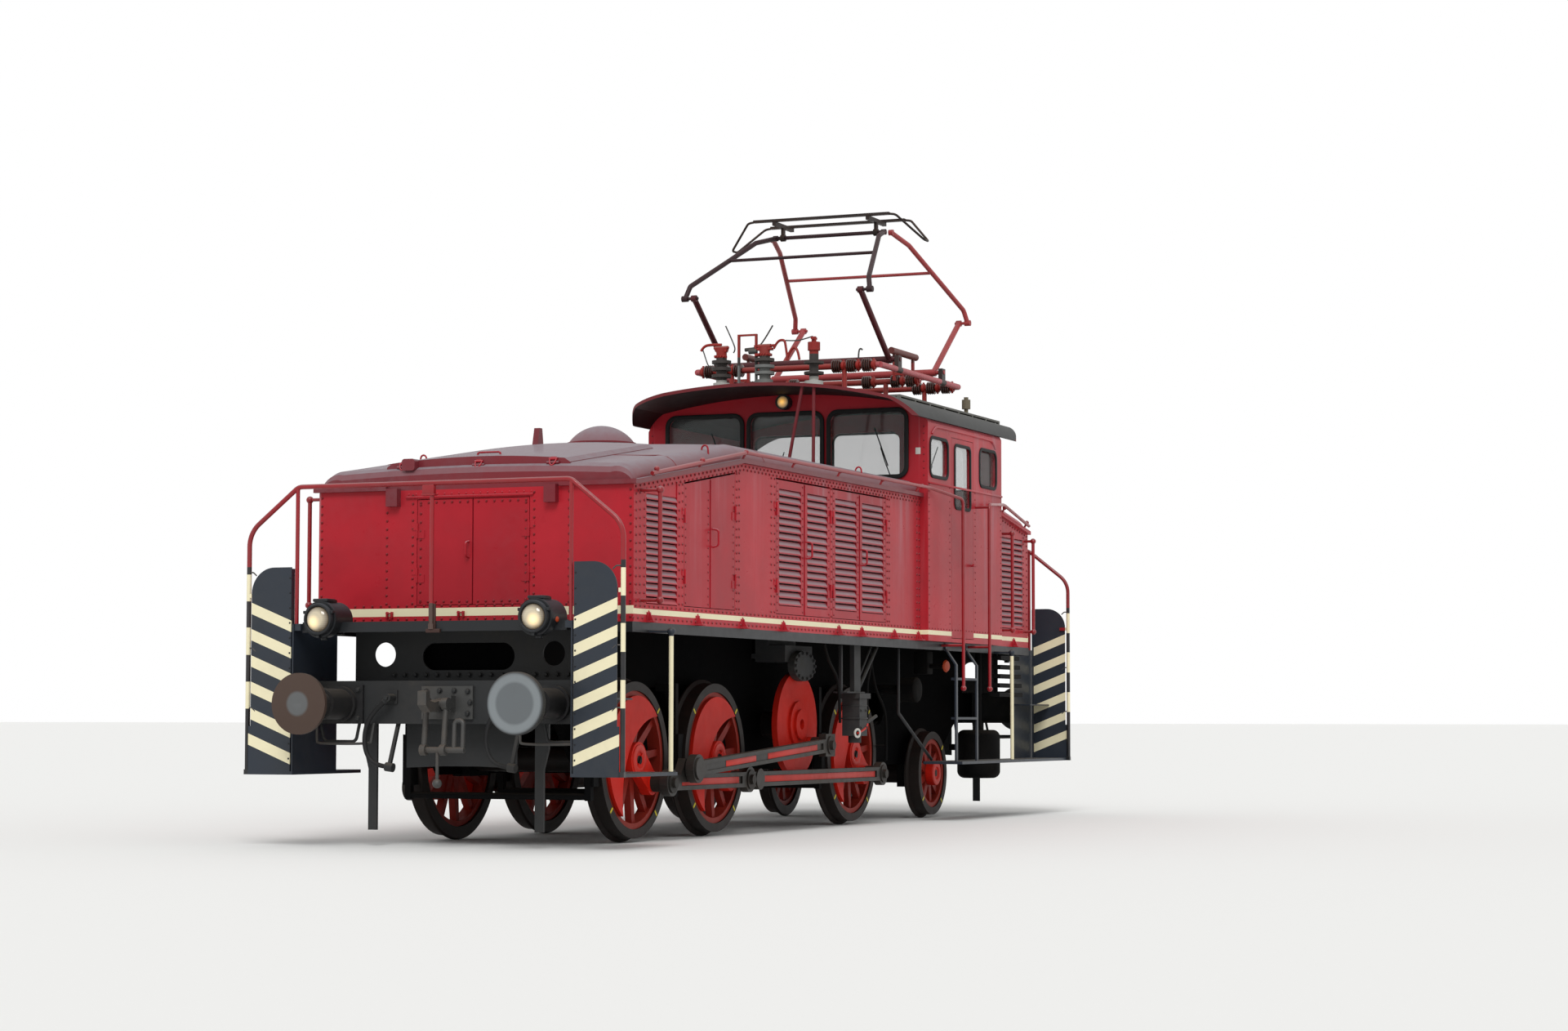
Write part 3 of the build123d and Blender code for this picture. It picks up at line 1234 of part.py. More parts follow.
def side_rail():
    # rail along the bonnet's edge that runs on to the cab door and down beside it
    y0, y1 = BODY_Y + 46, 1520
    x_door = -2025
    points = [(4330, y0, up(2690)), (BONNET_PEAK_X, y0, up(2975)), (CAB_FRONT_X + 20, CAB_Y + 24, up(2975)),
              (x_door, y1, up(2905)), (x_door, y1, up(1184))]
    rail = tube(points, RAIL_D - 6, [500, 500, 60])
    parts = [rail]
    for x in (4250, 3430, 2600, 1600, 600, -400, -1300):
        z = up(gutter_h(x)) + 80
        parts.append(post((x, BODY_Y + 10, z - 62), (x, y0, z + 4), 20))
    parts.append(across(x_door, up(DECK_H - 30), 26, BODY_Y, y1))
    parts.append(Pos(x_door, y1, up(1184)) * Sphere(26))
    return join(parts) - front_gutter()


def rear_side_rail():
    y0, y1 = BODY_Y + 46, 1520
    x_door = -2760
    points = [(x_door, y1, up(1184)), (x_door, y1, up(2905)), (CAB_REAR_X, CAB_Y + 26, up(2950)),
              (-BONNET_END_X + 100, y0, up(rear_gutter_h(-BONNET_END_X) + 82))]
    rail = tube(points, RAIL_D - 6, [60, 500])
    parts = [rail]
    for x in (-3700, -4380):
        z = up(rear_gutter_h(x)) + 84
        parts.append(post((x, BODY_Y + 10, z - 66), (x, y0, z + 2), 20))
    parts.append(across(x_door, up(DECK_H - 30), 26, BODY_Y, y1))
    parts.append(across(x_door, up(2880), 26, CAB_Y, y1))
    parts.append(Pos(x_door, y1, up(1184)) * Sphere(26))
    return join(parts) - rear_gutter()


save("rails_side", *both_sides(side_rail()), *both_sides(rear_side_rail()), *rear_end_rails)


# Under-frame gear

def brake_gear():
    # hangers and blocks behind each coupled wheel, tied by cross bars
    parts = []
    r = TREAD_D / 2
    for x in AXLE_X:
        side_x = x + r + 42
        hanger = block(side_x - 5, side_x + 45, 730, 780, up(300), up(1150))
        arc_block = block(x + r - 150, side_x + 40, 722, 802, up(r - 190), up(r + 190))
        arc_block = arc_block - across(x, up(r), TREAD_D + 24, 600, 900)
        lug = block(side_x - 5, side_x + 45, FRAME_Y + FRAME_T / 2, 780, up(1120), up(1180))
        parts += both_sides(join([hanger, arc_block, lug]))
        parts.append(across(side_x + 20, up(330), 50, -770, 770))
    return join(parts)


save("brake_gear", brake_gear())


def air_gear():
    # lying reservoirs across and along under the deck, each hung from a strap
    tanks = []
    for x in (-3800, -4230):
        z = up(DECK_H - 275)
        tank = post((x, -480, z), (x, 480, z), 330)
        tank = fillet(tank.edges().filter_by(GeomType.CIRCLE), 60)
        straps = [block(x - 30, x + 30, y - 12, y + 12, z + 70, up(DECK_H - DECK_T)) for y in (-300, 300)]
        tanks.append(join([tank] + straps))
    for y in (-1, 1):
        pot = post((-4230, y * 900, up(330)), (-4230, y * 900, up(800)), 420)
        pot = fillet(pot.edges().filter_by(GeomType.CIRCLE), 70)
        strap = block(-4260, -4200, y * 605, y * 720, up(600), up(660))
        neck = post((-4230, y * 900, up(790)), (-4230, y * 900, up(DECK_H - DECK_T)), 60)
        tanks.append(join([pot, neck, strap]))
    return tanks


def gear_cases():
    # bolted covers over the gear beside each jackshaft disc, hung from the deck
    z = up(DECK_H - 255)
    shell = Pos(JACK_X, 908, z) * Rot(-90, 0, 0) * extrude(Ellipse(235, 128), 60)
    arm = block(JACK_X - 300, JACK_X + 300, 640, 912, z + 30, z + 170)
    hang = block(JACK_X - 300, JACK_X + 300, 640, 760, z + 60, up(DECK_H - DECK_T))
    web = block(JACK_X - 300, JACK_X + 300, FRAME_Y + FRAME_T / 2, 660, z + 60, z + 100)
    return join([shell, arm, hang, web])


def cooling_pipes():
    # stack of finned pipes under the deck at the rear
    parts = []
    z0 = DECK_H - 485
    for i in range(5):
        z = up(z0 + i * 88)
        x0, x1 = -3560 - i * 12, -4260 + i * 24
        parts.append(block(x1, x0, 1245, 1345, z, z + 40))
    for x in (-3640, -4120):
        parts.append(block(x - 14, x + 14, 1266, 1296, up(z0 + 10), up(DECK_H - DECK_T)))
    return join(parts)


save("air_gear", *air_gear(), *both_sides(cooling_pipes()))


def lubricator():
    # lubricating pump on a bracket outside the rods
    x, y = -250, 1150
    top = DECK_H - 480
    body = block(x - 90, x + 90, y - 80, y + 80, up(top - 365), up(top - 45))
    head = block(x - 150, x + 110, y - 90, y + 90, up(top - 45), up(top))
    foot = post((x, y, up(top - 425)), (x, y, up(top - 365)), 110)
    bracket = block(x - 90, x + 60, y - 20, y + 20, up(top - 5), up(DECK_H - DECK_T))
    lever = post((x - 80, y + 60, up(top - 265)), (x - 330, y + 70, up(top - 195)), 30)
    return join([body, head, foot, bracket, lever])


save("gear_cases", *both_sides(gear_cases()), *both_sides(lubricator()))


# Heavy masses inside the bonnet, and the roof gear

motor = across(JACK_X, up(DECK_H + 585), 1120, -900, 900)
motor_feet = block(JACK_X - 480, JACK_X + 480, -880, 880, up(DECK_H), up(DECK_H + 195))
transformer = block(2100, 3900, -820, 820, up(DECK_H), up(DECK_H + 955))
save("motor_blocks", join([motor, motor_feet]), transformer)


def insulator(x, y, low, high, diameter, sheds):
    stem = post((x, y, up(low)), (x, y, up(high)), diameter * 0.55)
    parts = [stem]
    pitch = (high - low) / (sheds + 1)
    for i in range(sheds):
        z = up(low + pitch * (i + 1))
        parts.append(post((x, y, z - pitch * 0.22), (x, y, z + pitch * 0.22), diameter))
    return join(parts)


cab_roof_solid = extrude(roof_profile(VISOR_REAR_X, 0, 0), VISOR_FRONT_X - VISOR_REAR_X, dir=(1, 0, 0))


def walkway(side):
    # boarded box frame along the roof's shoulder
    out, inside = WALK_OUT_Y, WALK_OUT_Y - WALK_WIDTH
    x0, x1 = WALK_REAR_X, WALK_FRONT_X
    top = up(WALK_TOP_H)
    parts = [block(x0, x1, side * inside, side * out, top - 18, top)]
    low = up(roof_line(out)) - 20
    parts.append(block(x0, x1, side * (out - 12), side * out, low, low + 30))
    for i in range(WALK_BAYS + 1):
        x = x0 + 14 + (x1 - x0 - 28) * i / WALK_BAYS
        parts.append(block(x - 14, x + 14, side * (out - 30), side * out, low, top - 10))
        parts.append(block(x - 8, x + 8, side * inside, side * (inside + 20), up(roof_line(inside)) - 20, top - 10))
    return join(parts)


def switch_post(y):
    # pedestal, post insulator and terminal of the main switch
    foot = up(roof_line(y)) - 10
    parts = [post((SWITCH_X, y, foot), (SWITCH_X, y, foot + 70), 150)]
    parts.append(insulator(SWITCH_X, y, roof_line(y) + 60, SWITCH_TOP_H - 90, 176, 3))
    parts.append(post((SWITCH_X, y, up(SWITCH_TOP_H - 110)), (SWITCH_X, y, up(SWITCH_TOP_H - 30)), 96))
    parts.append(across(SWITCH_X, up(SWITCH_TOP_H - 30), 50, y - 60, y + 60))
    return join(parts)


def bushing(y):
    # tall bushing with two wide sheds and a capped head
    foot = up(roof_line(y)) - 10
    top = up(SWITCH_TOP_H) + 40
    parts = [post((SWITCH_X, y, foot), (SWITCH_X, y, foot + 60), 168)]
    parts.append(post((SWITCH_X, y, foot + 50), (SWITCH_X, y, top - 120), 84))
    for z in (foot + 120, foot + 215):
        parts.append(post((SWITCH_X, y, z), (SWITCH_X, y, z + 22), 178))
    parts.append(post((SWITCH_X, y, top - 125), (SWITCH_X, y, top - 50), 112))
    parts.append(post((SWITCH_X, y, top - 55), (SWITCH_X, y, top), 44))
    parts.append(block(SWITCH_X - 40, SWITCH_X + 40, y - 16, y + 16, top - 24, top - 6))
    return join(parts)


def switch_frame():
    # guard hoop between the two switch posts
    foot = up(roof_line(150)) - 16
    high = up(SWITCH_TOP_H) + 90
    bars = [block(SWITCH_X - 14, SWITCH_X + 14, y - 9, y + 9, foot, high) for y in (-245, -75)]
    bars.append(block(SWITCH_X - 14, SWITCH_X + 14, -245, -75, high - 16, high))
    return join(bars)


def whistle():
    foot = up(roof_line(900)) - 10
    x, y = -3889, 900
    return join([post((x, y, foot), (x, y, foot + 120), 40), post((x, y, foot + 110), (x, y, foot + 200), 84),
                 post((x, y, foot + 195), (x, y, foot + 225), 44)])


def roof_gear():
    # walkways, main switch, bushing and whistle on the cab roof
    parts = [walkway(1), walkway(-1), bushing(487), switch_frame(), whistle()]
    parts += [switch_post(y) for y in SWITCH_Y]
    return [shape - cab_roof_solid for shape in parts]


save("roof_gear", *roof_gear())


def ribbed(x, y, z, length, side):
    # lying insulator along Y
    parts = []
    pitch = length / 4
    for i in range(4):
        middle = side * (y + pitch * (i + 0.5))
        parts.append(across(x, z, RIB_D, middle - pitch * 0.3, middle + pitch * 0.3))
    return parts


def insulator_beam(x, z, groups):
    # tube across the roof with lying insulators, on two short posts
    parts = [across(x, z, 56, -MAST_HALF, MAST_HALF)]
    for side in (1, -1):
        for y in groups:
            parts += ribbed(x, y, z, RIB_LENGTH, side)
        parts.append(post((x, side * BEAM_POST_Y, up(roof_line(BEAM_POST_Y)) - 20), (x, side * BEAM_POST_Y, z), 46))
    return parts


def mast_base():
    # frame of the current collector on beams of lying insulators
    z = up(MAST_PIVOT_H)
    rail_z = z - 95
    parts = []
    reach = MAST_BEAM_OUT
    for side in (1, -1):
        y = side * MAST_HALF
        parts.append(post((MAST_X - reach, y, rail_z), (MAST_X + reach, y, rail_z), 56))
        for end in (1, -1):
            x = MAST_X + end * MAST_PIVOT
            parts.append(block(x - 45, x + 45, y - 20, y + 20, rail_z - 5, z + 34))
    for end in (1, -1):
        parts += insulator_beam(MAST_X + end * reach, rail_z, (445, 590, 740))
    parts += insulator_beam(MAST_X, rail_z - 40, (330, 620, 770))
    for side in (1, -1):
        spring_z, y = z + 120, side * SPRING_Y
        parts.append(post((MAST_X - 330, y, spring_z), (MAST_X + 330, y, spring_z), 64))
        for x in (MAST_X - 250, MAST_X + 250):
            parts.append(block(x - 16, x + 16, y - 12, y + 12, rail_z - 60, spring_z))
            parts.append(block(x - 16, x + 16, y, side * MAST_HALF, rail_z - 12, rail_z + 12))
    base = join(parts)
    for end in (1, -1):
        base = base - across(MAST_X + end * MAST_PIVOT, z, 40 + 2 * PIN_GAP, -1000, 1000)
    return base - cab_roof_solid


save("mast_base", mast_base())

LOWER_RISE = LOWER_ARM * math.sin(math.radians(LOWER_ANGLE))
LOWER_REACH = LOWER_ARM * math.cos(math.radians(LOWER_ANGLE))
KNEE_OUT = MAST_PIVOT + LOWER_REACH
KNEE_Z = up(MAST_PIVOT_H) + LOWER_RISE
APEX_RUN = KNEE_OUT - APEX_OFFSET
APEX_Z = KNEE_Z + math.sqrt(UPPER_ARM ** 2 - APEX_RUN ** 2)


def lower_arm_frame(end):
    # cross shaft in the base's bearings with two arms out to the knees
    z = up(MAST_PIVOT_H)
    x = MAST_X + end * MAST_PIVOT
    knee_x = MAST_X + end * KNEE_OUT
    parts = [across(x, z, 40, -MAST_HALF - 26, MAST_HALF + 26), across(x, z, 70, -LOWER_ARM_Y, LOWER_ARM_Y)]
    for side in (1, -1):
        y = side * LOWER_ARM_Y
        parts.append(post((x, y, z), (knee_x, y, KNEE_Z), ARM_D + 8))
        parts.append(across(x, z, 70, y - 26, y + 26))
        parts.append(across(knee_x, KNEE_Z, 60, y - 24, y + 24))
    frame = join(parts)
    return frame - across(knee_x, KNEE_Z, KNEE_PIN_D + 2 * PIN_GAP, -MAST_HALF, MAST_HALF)


def upper_arm_frame(end):
    # two cranked arms from the knees to the top shaft, tied by a cross bar
    knee_x = MAST_X + end * KNEE_OUT
    apex_x = MAST_X + end * APEX_OFFSET
    parts = []
    for side in (1, -1):
        knee = Vector(knee_x, side * (MAST_HALF + 4), KNEE_Z)
        apex = Vector(apex_x, side * (APEX_HALF if end > 0 else APEX_HALF + 52), APEX_Z)
        run = apex - knee
        bow = Vector(end * 55, 0, 62)
        low_bend = knee + run * 0.08 + bow
        high_bend = knee + run * 0.80 + bow
        path = [tuple(knee), tuple(low_bend), tuple(high_bend), tuple(apex)]
        parts.append(tube(path, ARM_D, [60, 90]))
        parts.append(across(knee_x, KNEE_Z, 56, side * (MAST_HALF - 24), side * (MAST_HALF + 34)))
        parts.append(across(knee_x, KNEE_Z, KNEE_PIN_D, side * (LOWER_ARM_Y - 40), side * (MAST_HALF + 20)))
        parts.append(across(apex_x, APEX_Z, 54, apex.Y - 22, apex.Y + 22))
    tie = knee + run * 0.5 + bow
    tie_y = abs(tie.Y)
    parts.append(across(tie.X, tie.Z, 30, -tie_y, tie_y))
    if end > 0:
        parts.append(across(apex_x, APEX_Z, 36, -APEX_HALF - 10, APEX_HALF + 10))
    return join(parts)


def shoes():
    # two contact strips with bent horns, on springs over the top shaft
    x, z = MAST_X + APEX_OFFSET, APEX_Z
    top = z + SHOE_ABOVE
    parts = []
    half = SHOE_SPACING / 2
    for end in (1, -1):
        strip_x = x + end * half
        parts.append(block(strip_x - 24, strip_x + 24, -SHOE_HALF, SHOE_HALF, top - 24, top))
    for side in (1, -1):
        y = side * APEX_HALF * 0.86
        parts.append(block(x - half - 20, x + half + 20, y - 18, y + 18, top - 60, top - 22))
        parts.append(block(x - 22, x + 22, y - 14, y + 14, z + 22, top - 50))
        parts.append(across(x, z, 66, y - 22, y + 22) - across(x, z, 37.2, y - 60, y + 60))
        horn = tube([(x + half, side * (SHOE_HALF - 14), top - 14), (x + half, side * (SHOE_HALF + 60), top - 24),
                     (x + 60, side * HORN_HALF, top - HORN_DROP), (x - 60, side * HORN_HALF, top - HORN_DROP),
                     (x - half, side * (SHOE_HALF + 60), top - 24), (x - half, side * (SHOE_HALF - 14), top - 14)],
                    22, [60, 50, 50, 60])
        parts.append(horn)
    return join(parts)


save("mast_lower_front", lower_arm_frame(1))
save("mast_lower_rear", lower_arm_frame(-1))
save("mast_upper_front", upper_arm_frame(1))
save("mast_upper_rear", upper_arm_frame(-1))
save("mast_shoes", shoes())
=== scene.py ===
import logging
import math
from dataclasses import dataclass, field
from enum import Enum
from typing import Iterable, Optional, Sequence, Union

import bmesh
import bpy
from mathutils import Matrix, Vector

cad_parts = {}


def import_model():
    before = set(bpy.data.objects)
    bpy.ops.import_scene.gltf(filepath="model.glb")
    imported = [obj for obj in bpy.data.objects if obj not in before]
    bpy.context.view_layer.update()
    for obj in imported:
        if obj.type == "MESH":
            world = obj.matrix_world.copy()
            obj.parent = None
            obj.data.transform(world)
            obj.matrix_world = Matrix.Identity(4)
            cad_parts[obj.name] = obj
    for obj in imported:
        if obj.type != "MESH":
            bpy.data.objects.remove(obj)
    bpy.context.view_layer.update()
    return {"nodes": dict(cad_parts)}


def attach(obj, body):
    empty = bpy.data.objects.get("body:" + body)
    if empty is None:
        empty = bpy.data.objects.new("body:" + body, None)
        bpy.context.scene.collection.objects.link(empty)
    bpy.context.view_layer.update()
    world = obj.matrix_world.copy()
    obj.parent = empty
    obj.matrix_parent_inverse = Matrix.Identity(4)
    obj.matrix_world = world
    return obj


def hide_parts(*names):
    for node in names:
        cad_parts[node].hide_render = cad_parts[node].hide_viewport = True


LOG = logging.getLogger("locomotive")
MM = 0.001  # metres in a millimetre
FLANGE = 28  # millimetres from the flange tips, where z is nought, up to the top of the rails
SIDES = ((1, "left"), (-1, "right"))
Pair = tuple[float, float]
Point = tuple[float, float, float]
Piece = bpy.types.Object
Socket = bpy.types.NodeSocket
Value = Union[float, int, str, bool, tuple, Socket]


def linear(code: str) -> tuple[float, float, float, float]:
    """Turn an sRGB hex colour into linear values.

    Args:
        code: six hex digits, with or without a leading hash sign.

    Returns:
        Linear red, green, blue and an alpha of one.
    """
    digits = code.lstrip("#")
    channels = [int(digits[i:i + 2], 16) / 255 for i in (0, 2, 4)]
    out = [c / 12.92 if c <= 0.04045 else ((c + 0.055) / 1.055) ** 2.4 for c in channels]
    return (out[0], out[1], out[2], 1.0)


def add_node(tree: bpy.types.NodeTree, kind: str, settings: Optional[dict[str, Value]] = None,
             **inputs: Value) -> bpy.types.Node:
    """Add a node, set its options, and fill or link its inputs.

    Args:
        tree: the node tree that gets the node.
        kind: the node's type name.
        settings: options set as attributes.
        **inputs: values or output sockets by input name, spaces written as underscores, or i0, i1 by number.

    Returns:
        The new node.
    """
    node = tree.nodes.new(kind)
    for name, value in (settings or {}).items():
        setattr(node, name, value)
    for name, value in inputs.items():
        if name[0] == "i" and name[1:].isdigit():
            socket = node.inputs[int(name[1:])]
        else:
            socket = node.inputs[name.replace("_", " ")]
        if isinstance(value, Socket):
            tree.links.new(value, socket)
        else:
            socket.default_value = value
    return node


@dataclass(frozen=True)
class Zone:
    """A part of a surface, given by where it lies, that has another colour.

    Args:
        colour: sRGB hex colour of the zone.
        x, y, z: low and high limits in millimetres, or None where the zone has no limit.
        fold_y: True where the sides of the locomotive are alike.
        ring: centre x, centre z, inner and outer radius in millimetres, around an axle.
        disc: centre y, centre z, inner and outer radius in millimetres, around a line along the locomotive.
        slant: rise per millimetre of y, period, filled share, height of the start and count of sloped stripes.

    Limits and radii are in millimetres. A zone that has several kinds of limits lies where all of them hold.
    """

    colour: str
    x: Optional[Pair] = None
    y: Optional[Pair] = None
    z: Optional[Pair] = None
    fold_y: bool = True
    ring: Optional[tuple[float, float, float, float]] = None
    slant: Optional[tuple[float, float, float, float, int]] = None
    disc: Optional[tuple[float, float, float, float]] = None


class Shade:
    """A node tree under construction, with the small sums that masks and dirt need."""

    def __init__(self, name: str) -> None:
        """Start a material with an empty node tree."""
        self.material = bpy.data.materials.new(name)
        self.material.use_nodes = True
        self.tree = self.material.node_tree
        self.tree.nodes.clear()
        coords = add_node(self.tree, "ShaderNodeTexCoord")
        self.position = coords.outputs["Object"]
        split = add_node(self.tree, "ShaderNodeSeparateXYZ", i0=self.position)
        self.axes = [split.outputs[i] for i in range(3)]
        self.side = self.math("ABSOLUTE", self.axes[1])

    def math(self, operation: str, a: Value, b: Value = 0.0, c: Value = 0.0) -> Socket:
        """Do one sum on values or sockets and return the result's socket."""
        return add_node(self.tree, "ShaderNodeMath", {"operation": operation}, i0=a, i1=b, i2=c).outputs[0]

    def within(self, value: Socket, low: float, high: float) -> Socket:
        """Return a mask that is one where a value in metres lies between two limits in millimetres."""
        above = self.math("GREATER_THAN", value, low * MM)
        below = self.math("LESS_THAN", value, high * MM)
        return self.math("MULTIPLY", above, below)

    def ramp(self, value: Value, low: float, high: float) -> Socket:
        """Return a value scaled so that low gives nought and high gives one, held between them."""
        return add_node(self.tree, "ShaderNodeMapRange", {"clamp": True}, Value=value, From_Min=low, From_Max=high,
                        To_Min=0.0, To_Max=1.0).outputs[0]

    def mix(self, share: Value, a: Value, b: Value) -> Socket:
        """Mix two colours by a share and return the result's socket."""
        node = add_node(self.tree, "ShaderNodeMix", {"data_type": "RGBA"})
        for socket, value in ((node.inputs[0], share), (node.inputs[6], a), (node.inputs[7], b)):
            if isinstance(value, Socket):
                self.tree.links.new(value, socket)
            else:
                socket.default_value = value
        return node.outputs[2]

    def noise(self, size_mm: float, detail: float = 3.0, stretch: Point = (1, 1, 1)) -> Socket:
        """Return cloudy noise whose patches are about size_mm across, squeezed or drawn out along each axis."""
        scale = tuple(1.0 / s for s in stretch)
        turned = add_node(self.tree, "ShaderNodeMapping", Vector=self.position, Scale=scale).outputs[0]
        return add_node(self.tree, "ShaderNodeTexNoise", Vector=turned, Scale=1000.0 / size_mm / 2, Detail=detail,
                        Roughness=0.6).outputs[0]

    def radius(self, across: Socket, middle: float, height: float) -> Socket:
        """Return the distance from a line, given by a coordinate's middle and a height in millimetres."""
        a = self.math("SUBTRACT", across, middle * MM)
        b = self.math("SUBTRACT", self.axes[2], height * MM)
        return self.math("SQRT", self.math("ADD", self.math("MULTIPLY", a, a), self.math("MULTIPLY", b, b)))

    def zone_mask(self, zone: Zone) -> Optional[Socket]:
        """Return the mask of a zone."""
        masks = []
        side = self.side if zone.fold_y else self.axes[1]
        for limits, value in ((zone.x, self.axes[0]), (zone.y, side), (zone.z, self.axes[2])):
            if limits:
                masks.append(self.within(value, *limits))
        if zone.ring:
            middle, height, inner, outer = zone.ring
            masks.append(self.within(self.radius(self.axes[0], middle, height), inner, outer))
        if zone.disc:
            middle, height, inner, outer = zone.disc
            distance = self.radius(side, middle, height)
            masks.append(self.ramp(distance, (outer + 8) * MM, (outer - 12) * MM))
            if inner:
                masks.append(self.ramp(distance, (inner - 12) * MM, (inner + 8) * MM))
        if zone.slant:
            rise, period, filled, start, count = zone.slant
            line = self.math("SUBTRACT", self.axes[2], self.math("MULTIPLY_ADD", side, rise, start * MM))
            phase = self.math("FRACT", self.math("DIVIDE", line, period * MM))
            masks.append(self.math("LESS_THAN", phase, filled))
            masks.append(self.within(line, 0, period * count))
        total = masks[0] if masks else None
        for mask in masks[1:]:
            total = self.math("MULTIPLY", total, mask)
        return total

    def finish(self, **inputs: Value) -> bpy.types.Material:
        """Close the tree with a surface shader and return the material."""
        shader = add_node(self.tree, "ShaderNodeBsdfPrincipled", **inputs)
        output = add_node(self.tree, "ShaderNodeOutputMaterial")
        self.tree.links.new(shader.outputs[0], output.inputs[0])
        return self.material


# what every paint shares: how dark the patches are, the sizes of patches, grain, the pale runs, which are rain's
# runs and partly a painted sheen of reflected sky, and the areas that have them, how those are drawn out upright,
# the heights in metres where runs fade and are full, and the distance from the middle in metres beyond which a
# face is a side wall, since only side walls have runs
DEEP = 0.72
PATCH_MM, GRAIN_MM = 420.0, 38.0
RUN_SHEEN_MM, SHOWER_SHEEN_MM = 170.0, 800.0
RUN_SHEEN_STRETCH, SHOWER_SHEEN_STRETCH = (0.5, 0.5, 9.0), (0.6, 0.6, 2.0)
RUN_SHEEN_FADE, RUN_SHEEN_FULL = 1.9, 2.85
FLANK = 1.295


@dataclass(frozen=True)
class Paint:
    """Enamel or bare metal with cloudy patches, dust, and pale runs of rain that are partly painted sheen.

    Args:
        name: the finish in plain words.
        colour: sRGB hex colour of clean paint.
        dust: sRGB hex colour of what settles on it.
        dust_up: how much dust lies on faces that look up.
        dust_side: how much dust and staining upright faces have.
        runs_and_sheen: strength of the pale runs, which are rain's runs and partly a painted sheen of reflected sky.
        roughness: roughness of clean paint.
        wave_mm: size of the plates' soft waves, and how deep they are.
        metal: how metallic the surface is.
        coat: strength of the gloss on top.
        shine: specular level of the paint film.
        zones: parts with other colours.
        below: sRGB hex colour of painted shade on faces that look down, or empty where they are alike.
        upright: sRGB hex colour of upright edges, or empty where they are alike.
    """

    name: str
    colour: str
    dust: str = "8a7f78"
    dust_up: float = 0.6
    dust_side: float = 0.15
    runs_and_sheen: float = 0.0
    roughness: float = 0.4
    wave_mm: Pair = (300.0, 0.6)
    metal: float = 0.0
    coat: float = 0.0
    zones: tuple[Zone, ...] = ()
    shine: float = 0.3
    below: str = ""
    upright: str = ""

    def build(self) -> bpy.types.Material:
        """Make the material.

        Returns:
            A material that reads only the object's own coordinates and normals.
        """
        shade = Shade(self.name)
        tree = shade.tree
        colour: Value = linear(self.colour)
        patches = shade.noise(PATCH_MM, 5.0)
        fine = shade.noise(GRAIN_MM, 4.0)
        deep = tuple(c * DEEP for c in linear(self.colour)[:3]) + (1.0,)
        colour = shade.mix(shade.ramp(patches, 0.35, 0.7), colour, deep)
        for zone in self.zones:
            colour = shade.mix(shade.zone_mask(zone), colour, linear(zone.colour))
        # faces that look up, down or sideways; faces that look down can take a painted shade
        normal = add_node(tree, "ShaderNodeNewGeometry").outputs["Normal"]
        up = add_node(tree, "ShaderNodeSeparateXYZ", i0=normal).outputs[2]
        lying = shade.ramp(up, 0.25, 0.95)
        if self.upright:
            level = shade.math("ABSOLUTE", up)
            colour = shade.mix(shade.ramp(level, 0.35, 0.25), colour, linear(self.upright))
        # painted shade on faces that look down, such as the nearly black underside of the cab roof
        if self.below:
            colour = shade.mix(shade.ramp(up, -0.1, -0.5), colour, linear(self.below))
        # dust on what lies flat, stains on what stands, and pale runs of rain that are partly a painted sheen of
        # reflected sky
        grain = shade.ramp(fine, 0.25, 0.75)
        dust_up = shade.math("MULTIPLY", lying, shade.math("MULTIPLY_ADD", grain, 0.35, self.dust_up - 0.2))
        cloud = shade.ramp(patches, 0.42, 0.72)
        dust_side = shade.math("MULTIPLY", cloud, shade.math("MULTIPLY", grain, self.dust_side))
        dust = shade.math("MAXIMUM", dust_up, dust_side)
        # the pale runs stand for rain's runs and partly for a painted sheen of the sky in the gloss, strongest up high
        if self.runs_and_sheen:
            runs = shade.noise(RUN_SHEEN_MM, 4.0, RUN_SHEEN_STRETCH)
            broad_runs_and_sheen = shade.noise(SHOWER_SHEEN_MM, 2.0, SHOWER_SHEEN_STRETCH)
            run = shade.math("MULTIPLY", shade.ramp(runs, 0.5, 0.74), shade.ramp(broad_runs_and_sheen, 0.38, 0.6))
            high = shade.math("MULTIPLY_ADD", shade.ramp(shade.axes[2], RUN_SHEEN_FADE, RUN_SHEEN_FULL), 0.85, 0.15)
            flank = shade.math("GREATER_THAN", shade.side, FLANK)
            run = shade.math("MULTIPLY", run, shade.math("MULTIPLY", high, flank))
            dust = shade.math("MAXIMUM", dust, shade.math("MULTIPLY", run, self.runs_and_sheen))
        dust = add_node(tree, "ShaderNodeClamp", i0=dust).outputs[0]
        colour = shade.mix(dust, colour, linear(self.dust))
        # dust dulls the gloss, and the plates wave softly
        rough = shade.math("MULTIPLY_ADD", dust, 0.9 - self.roughness, self.roughness)
        rough = shade.math("MULTIPLY_ADD", grain, 0.08, rough)
        wave = shade.noise(self.wave_mm[0], 2.0)
        height = shade.math("MULTIPLY_ADD", fine, 0.06, wave)
        bump = add_node(tree, "ShaderNodeBump", Height=height, Strength=0.35, Distance=self.wave_mm[1] * MM * 8)
        return shade.finish(Base_Color=colour, Roughness=rough, Metallic=self.metal, Coat_Weight=self.coat,
                            Coat_Roughness=0.12, Specular_IOR_Level=self.shine, Normal=bump.outputs[0])


@dataclass(frozen=True)
class Glass:
    """Flat drawn window glass, a little dusty.

    Args:
        name: the finish in plain words.
        colour: sRGB hex colour of the thin film that the pane shows.
    """

    name: str = "flat drawn window glass"
    colour: str = "6f7a78"

    def build(self) -> bpy.types.Material:
        """Make the material."""
        shade = Shade(self.name)
        dust = shade.ramp(shade.noise(500.0, 5.0), 0.35, 0.8)
        rough = shade.math("MULTIPLY_ADD", dust, 0.05, 0.02)
        return shade.finish(Base_Color=linear(self.colour), Roughness=rough, IOR=1.45, Alpha=0.2,
                            Specular_IOR_Level=0.9)


